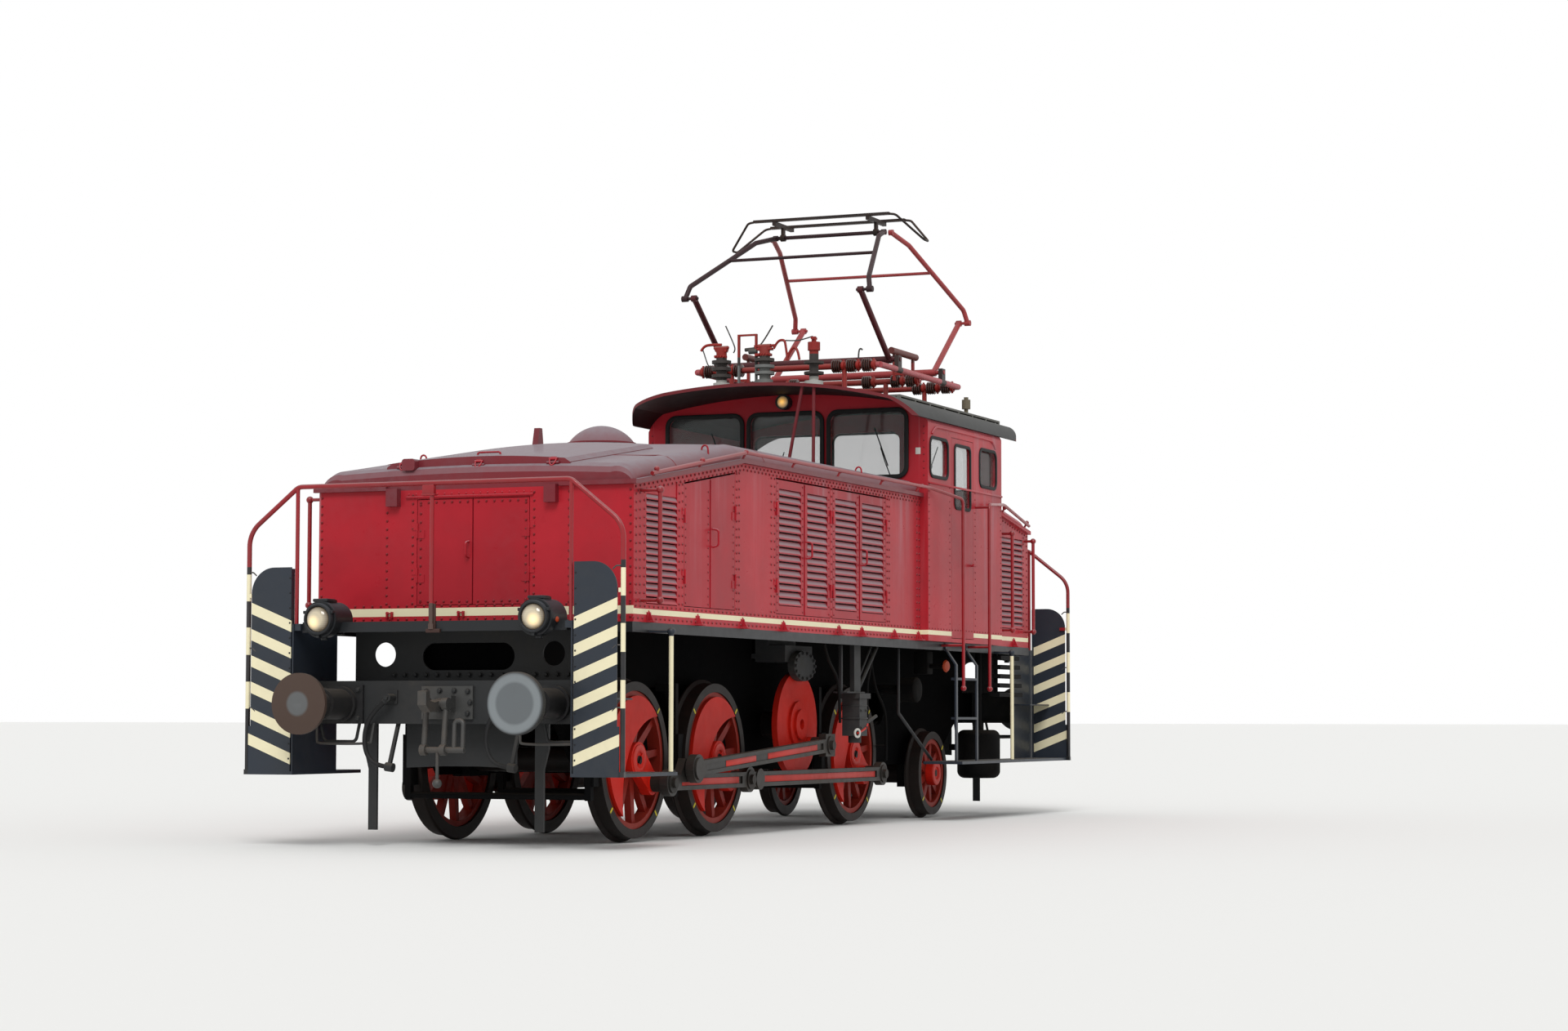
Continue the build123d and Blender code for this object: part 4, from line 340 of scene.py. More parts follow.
@dataclass(frozen=True)
class Lit:
    """A lamp glass with a warm lit bulb behind it.

    Args:
        name: the finish in plain words.
        centre: middle of the glass in millimetres, its y and z in use.
        colour: sRGB hex colour of the lit glass.
        core: sRGB hex colour of the light that it gives.
        off: how far the bulb's glow lies from the middle, across and up, in millimetres.
        reach: radius of the glow in millimetres.
        ribs: turns of the glass's ribs, in radians a metre.
    """

    name: str
    centre: Point
    colour: str = "fff2c8"
    core: str = "ffc066"
    off: Pair = (18.0, -22.0)
    reach: float = 62.0
    ribs: float = 420.0

    def build(self) -> bpy.types.Material:
        """Make the material, brightest near its centre."""
        shade = Shade(self.name)
        rim = shade.radius(shade.side, self.centre[1], self.centre[2])
        bulb = shade.radius(shade.side, self.centre[1] + self.off[0], self.centre[2] + self.off[1])
        glow = shade.ramp(bulb, self.reach * MM, 0.008)
        ribs = shade.math("SINE", shade.math("MULTIPLY", shade.axes[2], self.ribs))
        edge = shade.math("MULTIPLY_ADD", ribs, 0.05, shade.ramp(rim, self.reach * MM * 0.8, self.reach * MM * 1.35))
        held = add_node(shade.tree, "ShaderNodeClamp", i0=edge).outputs[0]
        colour = shade.mix(held, linear("c9bea4"), linear("6f675a"))
        colour = shade.mix(glow, colour, linear(self.colour))
        strength = shade.math("MULTIPLY_ADD", shade.math("POWER", glow, 1.6), 0.8, 0.03)
        return shade.finish(Base_Color=colour, Roughness=0.1, Emission_Color=linear(self.core),
                            Emission_Strength=strength, Coat_Weight=0.6)


# running gear: x of the coupled axles, x and z of the jackshaft, then x and radius of every wheelset
AXLES = (3465.0, 1965.0, -1035.0)
COUPLED_RADIUS = 595
JACK = (440.0, 886.0)
WHEELS = {"wheelset_1": (AXLES[0], COUPLED_RADIUS), "wheelset_2": (AXLES[1], COUPLED_RADIUS),
          "wheelset_3": (AXLES[2], COUPLED_RADIUS), "wheelset_carrying": (-3135.0, 395)}


def wheel_zones(x: float, radius: float) -> tuple[Zone, ...]:
    """Give the spokes, darker for dirt and painted shade, the dirty rim, the hub's bore and the dark tyre around one
    axle.
    """
    z = radius + FLANGE
    tyre = radius - 73
    # the dark red on the spokes is partly dirt and partly painted shade
    return (Zone("84241b", y=(700, 786)), Zone("8c2a1f", ring=(x, z, radius - 118, tyre), y=(700, 812)),
            Zone("1a1211", ring=(x, z, 0, 34), y=(840, 880)), Zone("231f1d", ring=(x, z, tyre, radius + 60)))


CREAM = "efe6c2"
# heights of the corner poles' cream bands, and the slant of the shields' stripes in the order of Zone.slant
POLE_BANDS = ((1793, 1990), (1399, 1600), (1005, 1202))
SHIELD_STRIPES = (0.4, 193.0, 0.43, 138.0, 6)


def both_ends(colour: str, x: Pair, **limits: object) -> tuple[Zone, Zone]:
    """Give a zone at the front and the same one at the rear."""
    return (Zone(colour, x=x, **limits), Zone(colour, x=(-x[1], -x[0]), **limits))


# where zones of colour lie, in millimetres: the louvres' dusty slats, corner poles, buffer faces and switch posts
LOUVRE_DUST = "93747a"
SLATS = tuple(Zone(LOUVRE_DUST, x=(low, high), y=(1296, 1309.5), z=(1840, 2790))
              for low, high in ((1359, 1824), (783, 1225), (116, 603), (-528, -18), (-4376, -3728)))
SLATS += (Zone(LOUVRE_DUST, x=(3790, 4330), y=(1296, 1309.5), z=(1840, 2572)),)
POLE_X, POLE_Y = (5100, 5260), (1495, 1600)
BUFFER_X = (5500, 5560)
SWITCH_X = (-1100, -800)


class Finish(Enum):
    """Every finish on the locomotive. Paint's values stand in the order of its fields."""

    # deep gloss red that mirrors the sky softly, clouded by dust, with pale runs of rain that are partly a painted
    # sheen
    BODY = Paint("wine red enamel on sheet steel", "b62833", "b4949a", 0.7, 0.06, 0.7, 0.26, (420.0, 1.2), 0.0, 0.0,
                 (*SLATS, Zone(CREAM, z=(1689, 1729)), *both_ends(CREAM, (4540, 4552), z=(1707, 1749))), 0.12)
    # the same red, a shade darker, with dull dusty slats, so that each leaf stands apart from the wall; pale runs
    # partly painted sheen
    DOOR = Paint("wine red enamel on door leaves", "ac2530", "b4949a", 0.7, 0.1, 0.75, 0.27, (380.0, 1.2), 0.0, 0.0,
                 SLATS, 0.12)
    # small dark red heads with a pale crown of dust, read as dotted lines
    RIVETS = Paint("wine red enamel on rivet heads", "7a0e16", "8a6064", 0.6, 0.15, 0.0, 0.38, (60.0, 0.2))
    # red almost hidden under grey rose dust, with a faint gloss at low angles
    ROOF = Paint("wine red enamel with roof dust", "78202a", "8c8086", 1.0, 0.3, 0.0, 0.36, (500.0, 1.0), 0.0, 0.1)
    # flat mouse grey above, a dull red edge and a nearly black underside, which is painted shade
    CAB_ROOF = Paint("grey weathered roof paint", "3b3c3c", "595957", 0.6, 0.3, 0.0, 0.6, (300.0, 0.8), 0.0, 0.0,
                     (), 0.3, "220809", "6c1e25")
    # smooth red tube with a thin bright line of sky along it
    RAIL = Paint("red enamel on steel tube", "94161f", "9a7f80", 0.6, 0.15, 0.1, 0.3, (120.0, 0.2), 0.0, 0.3)
    # the same tube with black and cream bands on the corner poles and brown rust at its foot
    END_RAIL = Paint("red enamel tube with banded feet", "94161f", "9a7f80", 0.6, 0.15, 0.1, 0.3, (120.0, 0.2),
                     0.0, 0.3,
                     (*both_ends("1b1c1e", POLE_X, y=POLE_Y, z=(0, 2045)),
                      *[zone for band in POLE_BANDS for zone in both_ends(CREAM, POLE_X, y=POLE_Y, z=band)],
                      Zone("4d3a33", y=(0, 24), z=(1500, 1760))))
    # bluish black plate, half glossy, greyed by dust on what lies flat
    BLACK = Paint("black enamel on steel plate", "1a1c1f", "474b50", 0.7, 0.15, 0.05, 0.42, (260.0, 0.8), 0.0, 0.1)
    # slate black with clean cream stripes, the brightest pattern on the machine
    SHIELD = Paint("black enamel with cream warning stripes", "2a313b", "5a564f", 0.75, 0.2, 0.1, 0.4, (260.0, 0.5),
                   0.0, 0.1,
                   (*both_ends(CREAM, (5179, 5192), y=(1140, 1512), slant=SHIELD_STRIPES),
                    Zone(CREAM, x=(4240, 4300), y=(1460, 1512), z=(552, 1532)),
                    Zone(CREAM, x=(-3545, -3485), y=(1460, 1512), z=(552, 1532))))
    # matt soot and oil over black paint: almost no shine, a brown haze where dust lies
    UNDER = Paint("sooty black underframe paint", "0e0e0f", "3c3630", 0.7, 0.3, 0.0, 0.7, (200.0, 0.6), shine=0.1)
    # dead black, darker than black paint as painted shade, so that the frame sinks into its own shadow
    FRAME = Paint("sooty black frame plate in painted shade", "070708", "24211e", 0.6, 0.3, 0.0, 0.8, (200.0, 0.6), shine=0.03)
    # dark grey with a brown bloom of brake dust
    BEAM = Paint("dark grey dusty beam paint", "2a2b2c", "5b544c", 0.8, 0.4, 0.1, 0.5, (200.0, 0.6))
    # dull half metallic grey, brown in the hollows
    IRON = Paint("worn grey forged iron", "4a4a49", "7a6a5c", 0.5, 0.5, 0.0, 0.45, (90.0, 0.4), 0.3)
    # dark steel with an oily sheen along the rods
    RODS = Paint("oiled forged steel", "302e2c", "5a4f42", 0.4, 0.4, 0.0, 0.4, (160.0, 0.3), 0.35)
    # black housings, one face of pale greased steel with a brighter ring near its rim, a painted highlight, the other
    # brown with a bare middle
    BUFFER = Paint("black enamel and greasy buffer steel", "232324", "575048", 0.6, 0.3, 0.0, 0.45, (120.0, 0.4),
                   0.0, 0.0,
                   (*both_ends("62676a", BUFFER_X, disc=(875, 1038, 0, 214)),
                    *both_ends("7d8386", BUFFER_X, disc=(875, 1038, 150, 205)),
                    Zone("46362e", x=BUFFER_X, disc=(-875, 1038, 0, 230), fold_y=False),
                    Zone("5c5e5f", x=BUFFER_X, disc=(-875, 1038, 0, 88), fold_y=False)))
    # dim grey green that keeps the cab dark behind its glass
    INSIDE = Paint("grey green interior enamel", "3d403a", "4f4d46", 0.3, 0.1, 0.0, 0.5)
    # plain mid grey, seen only when the doors are open
    MACHINE = Paint("grey machine enamel", "5b5d5c", "6f6a62", 0.6, 0.2, 0.0, 0.5)
    # weathered grey boards, with red heads, brown porcelain and pale feet on the switch posts
    ROOF_GEAR = Paint("roof boards and red switch gear", "6f6e69", "9a968c", 0.6, 0.3, 0.0, 0.6, zones=(
        Zone("8a241e", x=SWITCH_X, z=(3880, 4500)), Zone("3a3533", x=SWITCH_X, z=(3990, 4195)),
        Zone("b4b3ae", x=SWITCH_X, z=(3800, 3992)), Zone("6f7170", x=SWITCH_X, y=(0, 260), z=(3900, 4120)),
        Zone("6b6250", x=(-3960, -3800), z=(3880, 4200))))
    # faded red tubes with brown bearings and a paler end
    MAST_BASE = Paint("red collector frame with brown bearings", "96302c", "7a5f58", 0.5, 0.25, 0.0, 0.4, zones=(
        Zone("ad5056", y=(876, 940), z=(4105, 4175)), Zone("5f2a25", y=(700, 790), z=(4300, 4400)),
        Zone("2c2321", x=(-2040, -1910), y=(860, 1000)), Zone("2c2321", x=(-3230, -3100), y=(860, 1000))))
    # the collector's tubes, all one red, from sunlit red through maroon to nearly black as painted shade
    ARM_SUNLIT = Paint("red enamel on collector arms", "a63e40", "7a5a55", 0.4, 0.4, 0.0, 0.4, (120.0, 0.3))
    # maroon and nearly black are painted shade on the same red tubes
    ARM_HALF_SHADE = Paint("red collector tube in painted shade", "531c22", "4c3432", 0.4, 0.4, 0.0, 0.45, (120.0, 0.3))
    ARM_FULL_SHADE = Paint("red collector tube in deep painted shade", "2e161b", "44302e", 0.4, 0.4, 0.0, 0.45, (120.0, 0.3))
    # brown black metal with a warm copper dust
    SHOE = Paint("dark steel collector head with copper strip", "2a2321", "6a4a36", 0.5, 0.4, 0.0, 0.45,
                 (120.0, 0.3), 0.3)
    # black edge round the panes, with hardly a highlight
    RUBBER = Paint("black window rubber", "101010", "3a3734", 0.3, 0.15, 0.0, 0.6, (40.0, 0.1))
    # dull black with a soft grey bloom
    HOSE = Paint("dull black hose rubber", "1c1c1d", "4a4540", 0.4, 0.3, 0.0, 0.6, (60.0, 0.15))
    # painted shade: a hole's darkness between the slats
    DARK = Paint("painted shade behind louvres", "0b0a0a", "1c1918", 0.2, 0.1, 0.0, 0.8)
    # brown glaze with sharp small lights on every rib
    CERAMIC = Paint("brown glazed porcelain", "33211b", "5a4a42", 0.4, 0.2, 0.0, 0.22, (60.0, 0.1), 0.0, 0.4)
    # small marks that catch the eye: orange, white and yellow
    ORANGE = Paint("orange enamel mark", "c2461c", "7a5a40", 0.2, 0.1, 0.0, 0.4, (60.0, 0.1))
    WHITE = Paint("white enamel plate with dark rim", "d8d6cf", "9a958a", 0.2, 0.15, 0.0, 0.35, (60.0, 0.1))
    YELLOW = Paint("yellow enamel slip mark", "d8c81f", "8a7f40", 0.3, 0.25, 0.0, 0.45, (40.0, 0.1))
    # clear panes that let the sky behind show, with a mirror's edge and a film of dust
    GLASS = Glass()
    # ribbed lamp glass with a warm glow off its centre, and the small yellow lamp over the windows
    LENS = Lit("clear domed lamp glass with a warm bulb", (0.0, 875.0, 1650.0))
    TOP_LENS = Lit("warm ribbed lamp glass", (0.0, 0.0, 3822.0), "ffd98c", "ffb84a", (0.0, 0.0), 56.0)
    # the wheels' clear bright red, the warmest colour below the deck
    RED = Paint("bright red wheel enamel", "c8281b", "6a4038", 0.3, 0.25, 0.0, 0.4, (80.0, 0.2))
    # brick red castings, sooty in the corners
    TERMINAL = Paint("red enamel on cast terminals", "9a2620", "5f463e", 0.5, 0.35, 0.0, 0.4, (60.0, 0.3))
    # bare steel gone brown
    BROWN = Paint("brown oxidised steel", "3d2823", "6a5148", 0.5, 0.4, 0.0, 0.55, (60.0, 0.3))
    # dark grey paint rubbed dull, a little lighter than the soot behind it
    STRUT = Paint("grey worn underframe paint", "333436", "5c5850", 0.7, 0.35, 0.0, 0.5, (90.0, 0.3), shine=0.2)


def aim(toward: Point) -> Matrix:
    """Give the turn that points Z in a direction."""
    return Vector(toward).to_track_quat("Z", "Y").to_matrix().to_4x4()


def at_x(x: float, *path: Pair) -> list[Point]:
    """Give points on a plane across the locomotive from pairs of y and z."""
    return [(x, y, z) for y, z in path]


def at_y(y: float, *path: Pair) -> list[Point]:
    """Give points on an upright plane along the locomotive from pairs of x and z."""
    return [(x, y, z) for x, z in path]


class Studio:
    """The camera at the photograph's place, the floor, and soft even light.

    The camera's place is in millimetres, its turns and the sun's width in degrees, the lens and the sensor in
    millimetres, and the floor in metres. The sky's light is what it gives where nothing looks straight at it.
    """

    camera_mm: Point = (25103.4, 11041.8, 932.4)
    yaw: float = 22.598
    pitch: float = 3.690
    roll: float = 0.054
    lens: float = 72.40
    sensor: float = 36.0
    floor_size: float = 1200.0
    sky_light: float = 0.62
    sun_energy: float = 1.5
    sun_width: float = 25.0
    sun_toward: Point = (0.95, 0.38, 1.0)

    def build(self) -> None:
        """Make the camera, the floor, the sky and the lamps."""
        self.add_camera()
        self.add_floor()
        self.add_world()
        self.add_lamps()

    def add_camera(self) -> None:
        """Place the camera by the solved position and angles."""
        data = bpy.data.cameras.new("camera")
        data.lens = self.lens
        data.sensor_width = self.sensor
        data.sensor_fit = "HORIZONTAL"
        data.clip_end = 2000.0
        camera = bpy.data.objects.new("camera", data)
        bpy.context.collection.objects.link(camera)
        yaw, pitch = math.radians(self.yaw), math.radians(self.pitch)
        ahead = Vector((-math.cos(yaw) * math.cos(pitch), -math.sin(yaw) * math.cos(pitch), math.sin(pitch)))
        turn = ahead.to_track_quat("-Z", "Y").to_matrix() @ Matrix.Rotation(math.radians(self.roll), 3, "Z")
        camera.matrix_world = Matrix.Translation([v * MM for v in self.camera_mm]) @ turn.to_4x4()
        bpy.context.scene.camera = camera

    def add_floor(self) -> None:
        """Lay a wide pale floor under the wheels."""
        bpy.ops.mesh.primitive_plane_add(size=self.floor_size, location=(0, 0, 0))
        floor = bpy.context.object
        floor.name = "floor"
        paint = Shade("pale matt floor").finish(Base_Color=linear("f4f4f2"), Roughness=0.9, Specular_IOR_Level=0.1)
        floor.data.materials.append(paint)

    def add_world(self) -> None:
        """Make a sky that lights softly and is white to the camera, in mirrors and through glass."""
        world = bpy.data.worlds.new("sky")
        bpy.context.scene.world = world
        world.use_nodes = True
        tree = world.node_tree
        tree.nodes.clear()
        path = add_node(tree, "ShaderNodeLightPath").outputs
        seen = path["Is Camera Ray"]
        for ray in ("Is Transmission Ray", "Is Glossy Ray"):
            seen = add_node(tree, "ShaderNodeMath", {"operation": "MAXIMUM"}, i0=seen, i1=path[ray]).outputs[0]
        strength = add_node(tree, "ShaderNodeMapRange", Value=seen, To_Min=self.sky_light, To_Max=1.0).outputs[0]
        back = add_node(tree, "ShaderNodeBackground", Color=(1, 1, 1, 1), Strength=strength)
        add_node(tree, "ShaderNodeOutputWorld", Surface=back.outputs[0])

    def add_lamps(self) -> None:
        """Add one soft sun high on the camera's side."""
        data = bpy.data.lights.new("soft_sun", "SUN")
        data.energy = self.sun_energy
        data.angle = math.radians(self.sun_width)
        lamp = bpy.data.objects.new("soft_sun", data)
        bpy.context.collection.objects.link(lamp)
        lamp.matrix_world = aim(self.sun_toward)


MATERIALS: dict[str, bpy.types.Material] = {}


def material_of(finish: Finish) -> bpy.types.Material:
    """Return a finish's material, made once."""
    if finish.name not in MATERIALS:
        MATERIALS[finish.name] = finish.value.build()
    return MATERIALS[finish.name]


class Bench:
    """Modelling steps that the sub-assemblies share. Lengths are in millimetres."""

    def pick(self, *pieces: Piece) -> None:
        """Select only these pieces and make the first one active."""
        bpy.ops.object.select_all(action="DESELECT")
        for piece in pieces:
            piece.select_set(True)
        if pieces:
            bpy.context.view_layer.objects.active = pieces[0]

    def add(self, name: str, data: Union[bpy.types.Mesh, bpy.types.Curve]) -> Piece:
        """Put a mesh or a curve into the scene."""
        piece = bpy.data.objects.new(name, data)
        bpy.context.collection.objects.link(piece)
        return piece

    def carry(self, piece: Piece, point: Sequence[float], turn: Optional[Matrix] = None) -> Piece:
        """Turn a piece about the origin and move it to a point, in its own coordinates."""
        piece.data.transform(Matrix.Translation(Vector(point) * MM) @ (turn or Matrix()))
        return piece

    def place(self, piece: Piece, start: Point, end: Point) -> Piece:
        """Turn a piece made along Z about the origin so that it runs from one point to another."""
        a, b = Vector(start) * MM, Vector(end) * MM
        piece.data.transform(Matrix.Translation((a + b) / 2) @ aim(b - a))
        return piece

    def soften(self, piece: Piece, width: float, steps: int = 2) -> None:
        """Round every sharp edge of a piece."""
        bpy.context.view_layer.objects.active = piece
        bpy.ops.object.mode_set(mode="EDIT")
        bpy.ops.mesh.select_all(action="DESELECT")
        bpy.ops.mesh.select_mode(type="EDGE")
        bpy.ops.mesh.edges_select_sharp(sharpness=math.radians(40))
        bpy.ops.mesh.bevel(offset=width * MM, segments=steps)
        bpy.ops.object.mode_set(mode="OBJECT")

    def rod(self, start: Point, end: Point, diameter: float, sides: int = 16, bevel: float = 0.0) -> Piece:
        """Make a round bar from one point to another."""
        self.pick()
        depth = (Vector(end) - Vector(start)).length * MM
        bpy.ops.mesh.primitive_cylinder_add(vertices=sides, radius=diameter * MM / 2, depth=depth)
        piece = bpy.context.object
        if bevel:
            self.soften(piece, bevel)
        return self.place(piece, start, end)

    def bar(self, low: Point, high: Point, bevel: float = 0.0) -> Piece:
        """Make a straight bar or plate between two corners."""
        self.pick()
        bpy.ops.mesh.primitive_cube_add(size=1.0)
        piece = bpy.context.object
        size = [abs(b - a) * MM for a, b in zip(low, high)]
        middle = [(a + b) / 2 * MM for a, b in zip(low, high)]
        piece.data.transform(Matrix.Translation(middle) @ Matrix.Diagonal((*size, 1.0)))
        if bevel:
            self.soften(piece, bevel)
        return piece

    def bend(self, name: str, points: Sequence[Point], diameter: float, order: int, along: int, around: int) -> Piece:
        """Make a NURBS curve with a round section.

        Args:
            name: the curve's name.
            points: its control points.
            diameter: thickness in millimetres.
            order: 2 for straight runs, 3 or more for a smooth course.
            along: steps from one point to the next.
            around: roundness of the section.

        Returns:
            The curve as an object.
        """
        curve = bpy.data.curves.new(name, "CURVE")
        curve.dimensions = "3D"
        spline = curve.splines.new("NURBS")
        spline.points.add(len(points) - 1)
        for target, point in zip(spline.points, points):
            target.co = (*[v * MM for v in point], 1.0)
        spline.order_u = order
        spline.use_endpoint_u = True
        curve.resolution_u = along
        curve.bevel_depth = diameter * MM / 2
        curve.bevel_resolution = around
        curve.use_fill_caps = True
        return self.add(name, curve)

    def tube(self, points: Sequence[Point], diameter: float, order: int = 2) -> Piece:
        """Make a bent wire or tube through points, rounded where order is 3 or more."""
        self.pick(self.bend("tube", points, diameter, order, 6, 2))
        bpy.ops.object.convert(target="MESH")
        return bpy.context.object

    def lathe(self, outline: Sequence[Pair], start: Point, toward: Point, steps: int = 24) -> Piece:
        """Spin an outline of distance along an axis and radius.

        Args:
            outline: (distance from the start, radius) in order along the piece.
            start: where the axis starts.
            toward: direction of the axis.
            steps: faces around.

        Returns:
            The closed turned piece.
        """
        mesh = bpy.data.meshes.new("turned")
        points = [(radius * MM, 0.0, distance * MM) for distance, radius in outline]
        mesh.from_pydata(points, [(i, i + 1) for i in range(len(points) - 1)], [])
        piece = self.add("turned", mesh)
        self.pick(piece)
        bpy.ops.object.mode_set(mode="EDIT")
        bpy.ops.mesh.select_all(action="SELECT")
        bpy.ops.mesh.spin(steps=steps, angle=math.tau, center=(0, 0, 0), axis=(0, 0, 1))
        bpy.ops.mesh.select_all(action="SELECT")
        bpy.ops.mesh.remove_doubles(threshold=0.00002)
        bpy.ops.mesh.normals_make_consistent(inside=False)
        bpy.ops.object.mode_set(mode="OBJECT")
        return self.carry(piece, start, aim(toward))

    def ring(self, width: float, height: float, corner: float, band: float, depth: float) -> Piece:
        """Make a flat rounded frame about the origin, its opening along Z."""
        self.pick()
        bpy.ops.mesh.primitive_plane_add(size=1.0)
        piece = bpy.context.object
        piece.data.transform(Matrix.Diagonal((width * MM, height * MM, 1.0, 1.0)))
        bpy.ops.object.mode_set(mode="EDIT")
        bpy.ops.mesh.select_mode(type="VERT")
        bpy.ops.mesh.select_all(action="SELECT")
        bpy.ops.mesh.bevel(offset=corner * MM, segments=6, affect="VERTICES")
        bpy.ops.mesh.select_mode(type="FACE")
        bpy.ops.mesh.select_all(action="SELECT")
        bpy.ops.mesh.inset(thickness=band * MM)
        bpy.ops.mesh.delete(type="FACE")
        bpy.ops.mesh.select_all(action="SELECT")
        bpy.ops.mesh.extrude_region_move(TRANSFORM_OT_translate={"value": (0, 0, depth * MM)})
        bpy.ops.mesh.select_all(action="SELECT")
        bpy.ops.mesh.normals_make_consistent(inside=False)
        bpy.ops.object.mode_set(mode="OBJECT")
        self.soften(piece, min(band, depth) * 0.28)
        return piece

    def rivet(self, diameter: float, rise: float) -> Piece:
        """Make one domed rivet head that stands on Z = 0."""
        self.pick()
        bpy.ops.mesh.primitive_uv_sphere_add(segments=8, ring_count=4, radius=0.5 * MM)
        piece = bpy.context.object
        bpy.ops.object.mode_set(mode="EDIT")
        bpy.ops.mesh.select_all(action="SELECT")
        bpy.ops.mesh.bisect(plane_co=(0, 0, 0), plane_no=(0, 0, 1), clear_inner=True)
        bpy.ops.object.mode_set(mode="OBJECT")
        piece.data.transform(Matrix.Diagonal((diameter, diameter, rise * 2, 1.0)))
        return piece

    def bolt(self, across_flats: float, rise: float) -> Piece:
        """Make one hexagon bolt head with a washer, standing on Z = 0."""
        washer = self.rod((0, 0, 0), (0, 0, rise * 0.2), across_flats * 1.5, 12)
        head = self.rod((0, 0, rise * 0.15), (0, 0, rise), across_flats * 1.12, 6, across_flats * 0.05)
        return self.merge("bolt", [washer, head])

    def repeat(self, template: Piece, places: Iterable[tuple[Point, Point]]) -> Piece:
        """Copy a template to many places as one piece, and drop the template.

        Args:
            template: a piece that stands on Z = 0 and points up.
            places: pairs of a point and the direction that the copy points in.

        Returns:
            One piece that holds every copy.
        """
        whole = bmesh.new()
        for point, toward in places:
            copy = template.data.copy()
            copy.transform(Matrix.Translation(Vector(point) * MM) @ aim(toward))
            whole.from_mesh(copy)
            bpy.data.meshes.remove(copy)
        mesh = bpy.data.meshes.new("copies")
        whole.to_mesh(mesh)
        whole.free()
        bpy.data.objects.remove(template, do_unlink=True)
        return self.add("copies", mesh)

    def mirror(self, piece: Piece) -> Piece:
        """Return a copy on the locomotive's other side, its faces still outward."""
        copy = self.add(piece.name, piece.data.copy())
        copy.data.transform(Matrix.Diagonal((1, -1, 1, 1)))
        copy.data.flip_normals()
        return copy

    def rivets(self, name: str, places: Iterable[tuple[Point, Point]], size: Pair, body: str = "locomotive") -> None:
        """Finish rivet heads at many places, their size given as diameter and rise."""
        self.finish(name, [self.repeat(self.rivet(*size), places)], Finish.RIVETS, body, "body_red")

    def merge(self, name: str, pieces: Sequence[Piece]) -> Piece:
        """Join pieces into one object of that name."""
        self.pick(*pieces)
        if len(pieces) > 1:
            bpy.ops.object.join()
        pieces[0].name = name
        return pieces[0]

    def finish(self, name: str, pieces: Sequence[Piece], finish: Finish, body: str = "locomotive",
               slot: str = "", smooth: float = 40.0) -> Piece:
        """Join, smooth, paint and mount a piece.

        Args:
            name: the piece's name.
            pieces: its parts.
            finish: what it is made of.
            body: the moving body that it rides on.
            slot: the name of a material slot, or empty for none; it is not used.
            smooth: largest angle in degrees between faces that shade as one.

        Returns:
            The finished piece.
        """
        whole = self.merge(name, pieces)
        self.pick(whole)
        bpy.ops.object.shade_smooth_by_angle(angle=math.radians(smooth))
        whole.data.materials.clear()
        whole.data.materials.append(material_of(finish))
        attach(whole, body)
        LOG.info("%s: %d faces", name, len(whole.data.polygons))
        return whole


BENCH = Bench()


def spaced(start: float, end: float, pitch: float) -> list[float]:
    """Give evenly spaced values from start to end, about a pitch apart."""
    count = max(1, round(abs(end - start) / pitch))
    return [start + (end - start) * i / count for i in range(count + 1)]


@dataclass
class Hoses:
    """The four brake hoses, two under each beam.

    The route gives distances across from each hose's place and heights above the rail, and the length, in metres, is
    not used.
    """

    x: float = 4976.0
    diameter: float = 34.0
    places: tuple[tuple[str, float], ...] = (("right", -470.0), ("left", 530.0))
    route: tuple[Pair, ...] = (
        (-20, 1026), (-110, 952), (-170, 850), (-185, 735), (-158, 632), (-90, 568), (0, 556))
    length: float = 0.615

    def build(self) -> None:
        """Lay every hose as a smooth curve where its solid lies."""
        for end, turn in (("front", 1), ("rear", -1)):
            for side, y in self.places:
                points = [(turn * self.x, turn * (y + dy), height + FLANGE) for dy, height in self.route]
                self.lay(f"hose_{end}_{side}", points)

    def lay(self, node: str, points: Sequence[Point]) -> None:
        piece = BENCH.bend(node + "_rubber", points, self.diameter, 3, 16, 5)
        piece.data.materials.append(material_of(Finish.HOSE))
        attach(piece, "locomotive")
        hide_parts(node)
        LOG.info("%s laid", node)


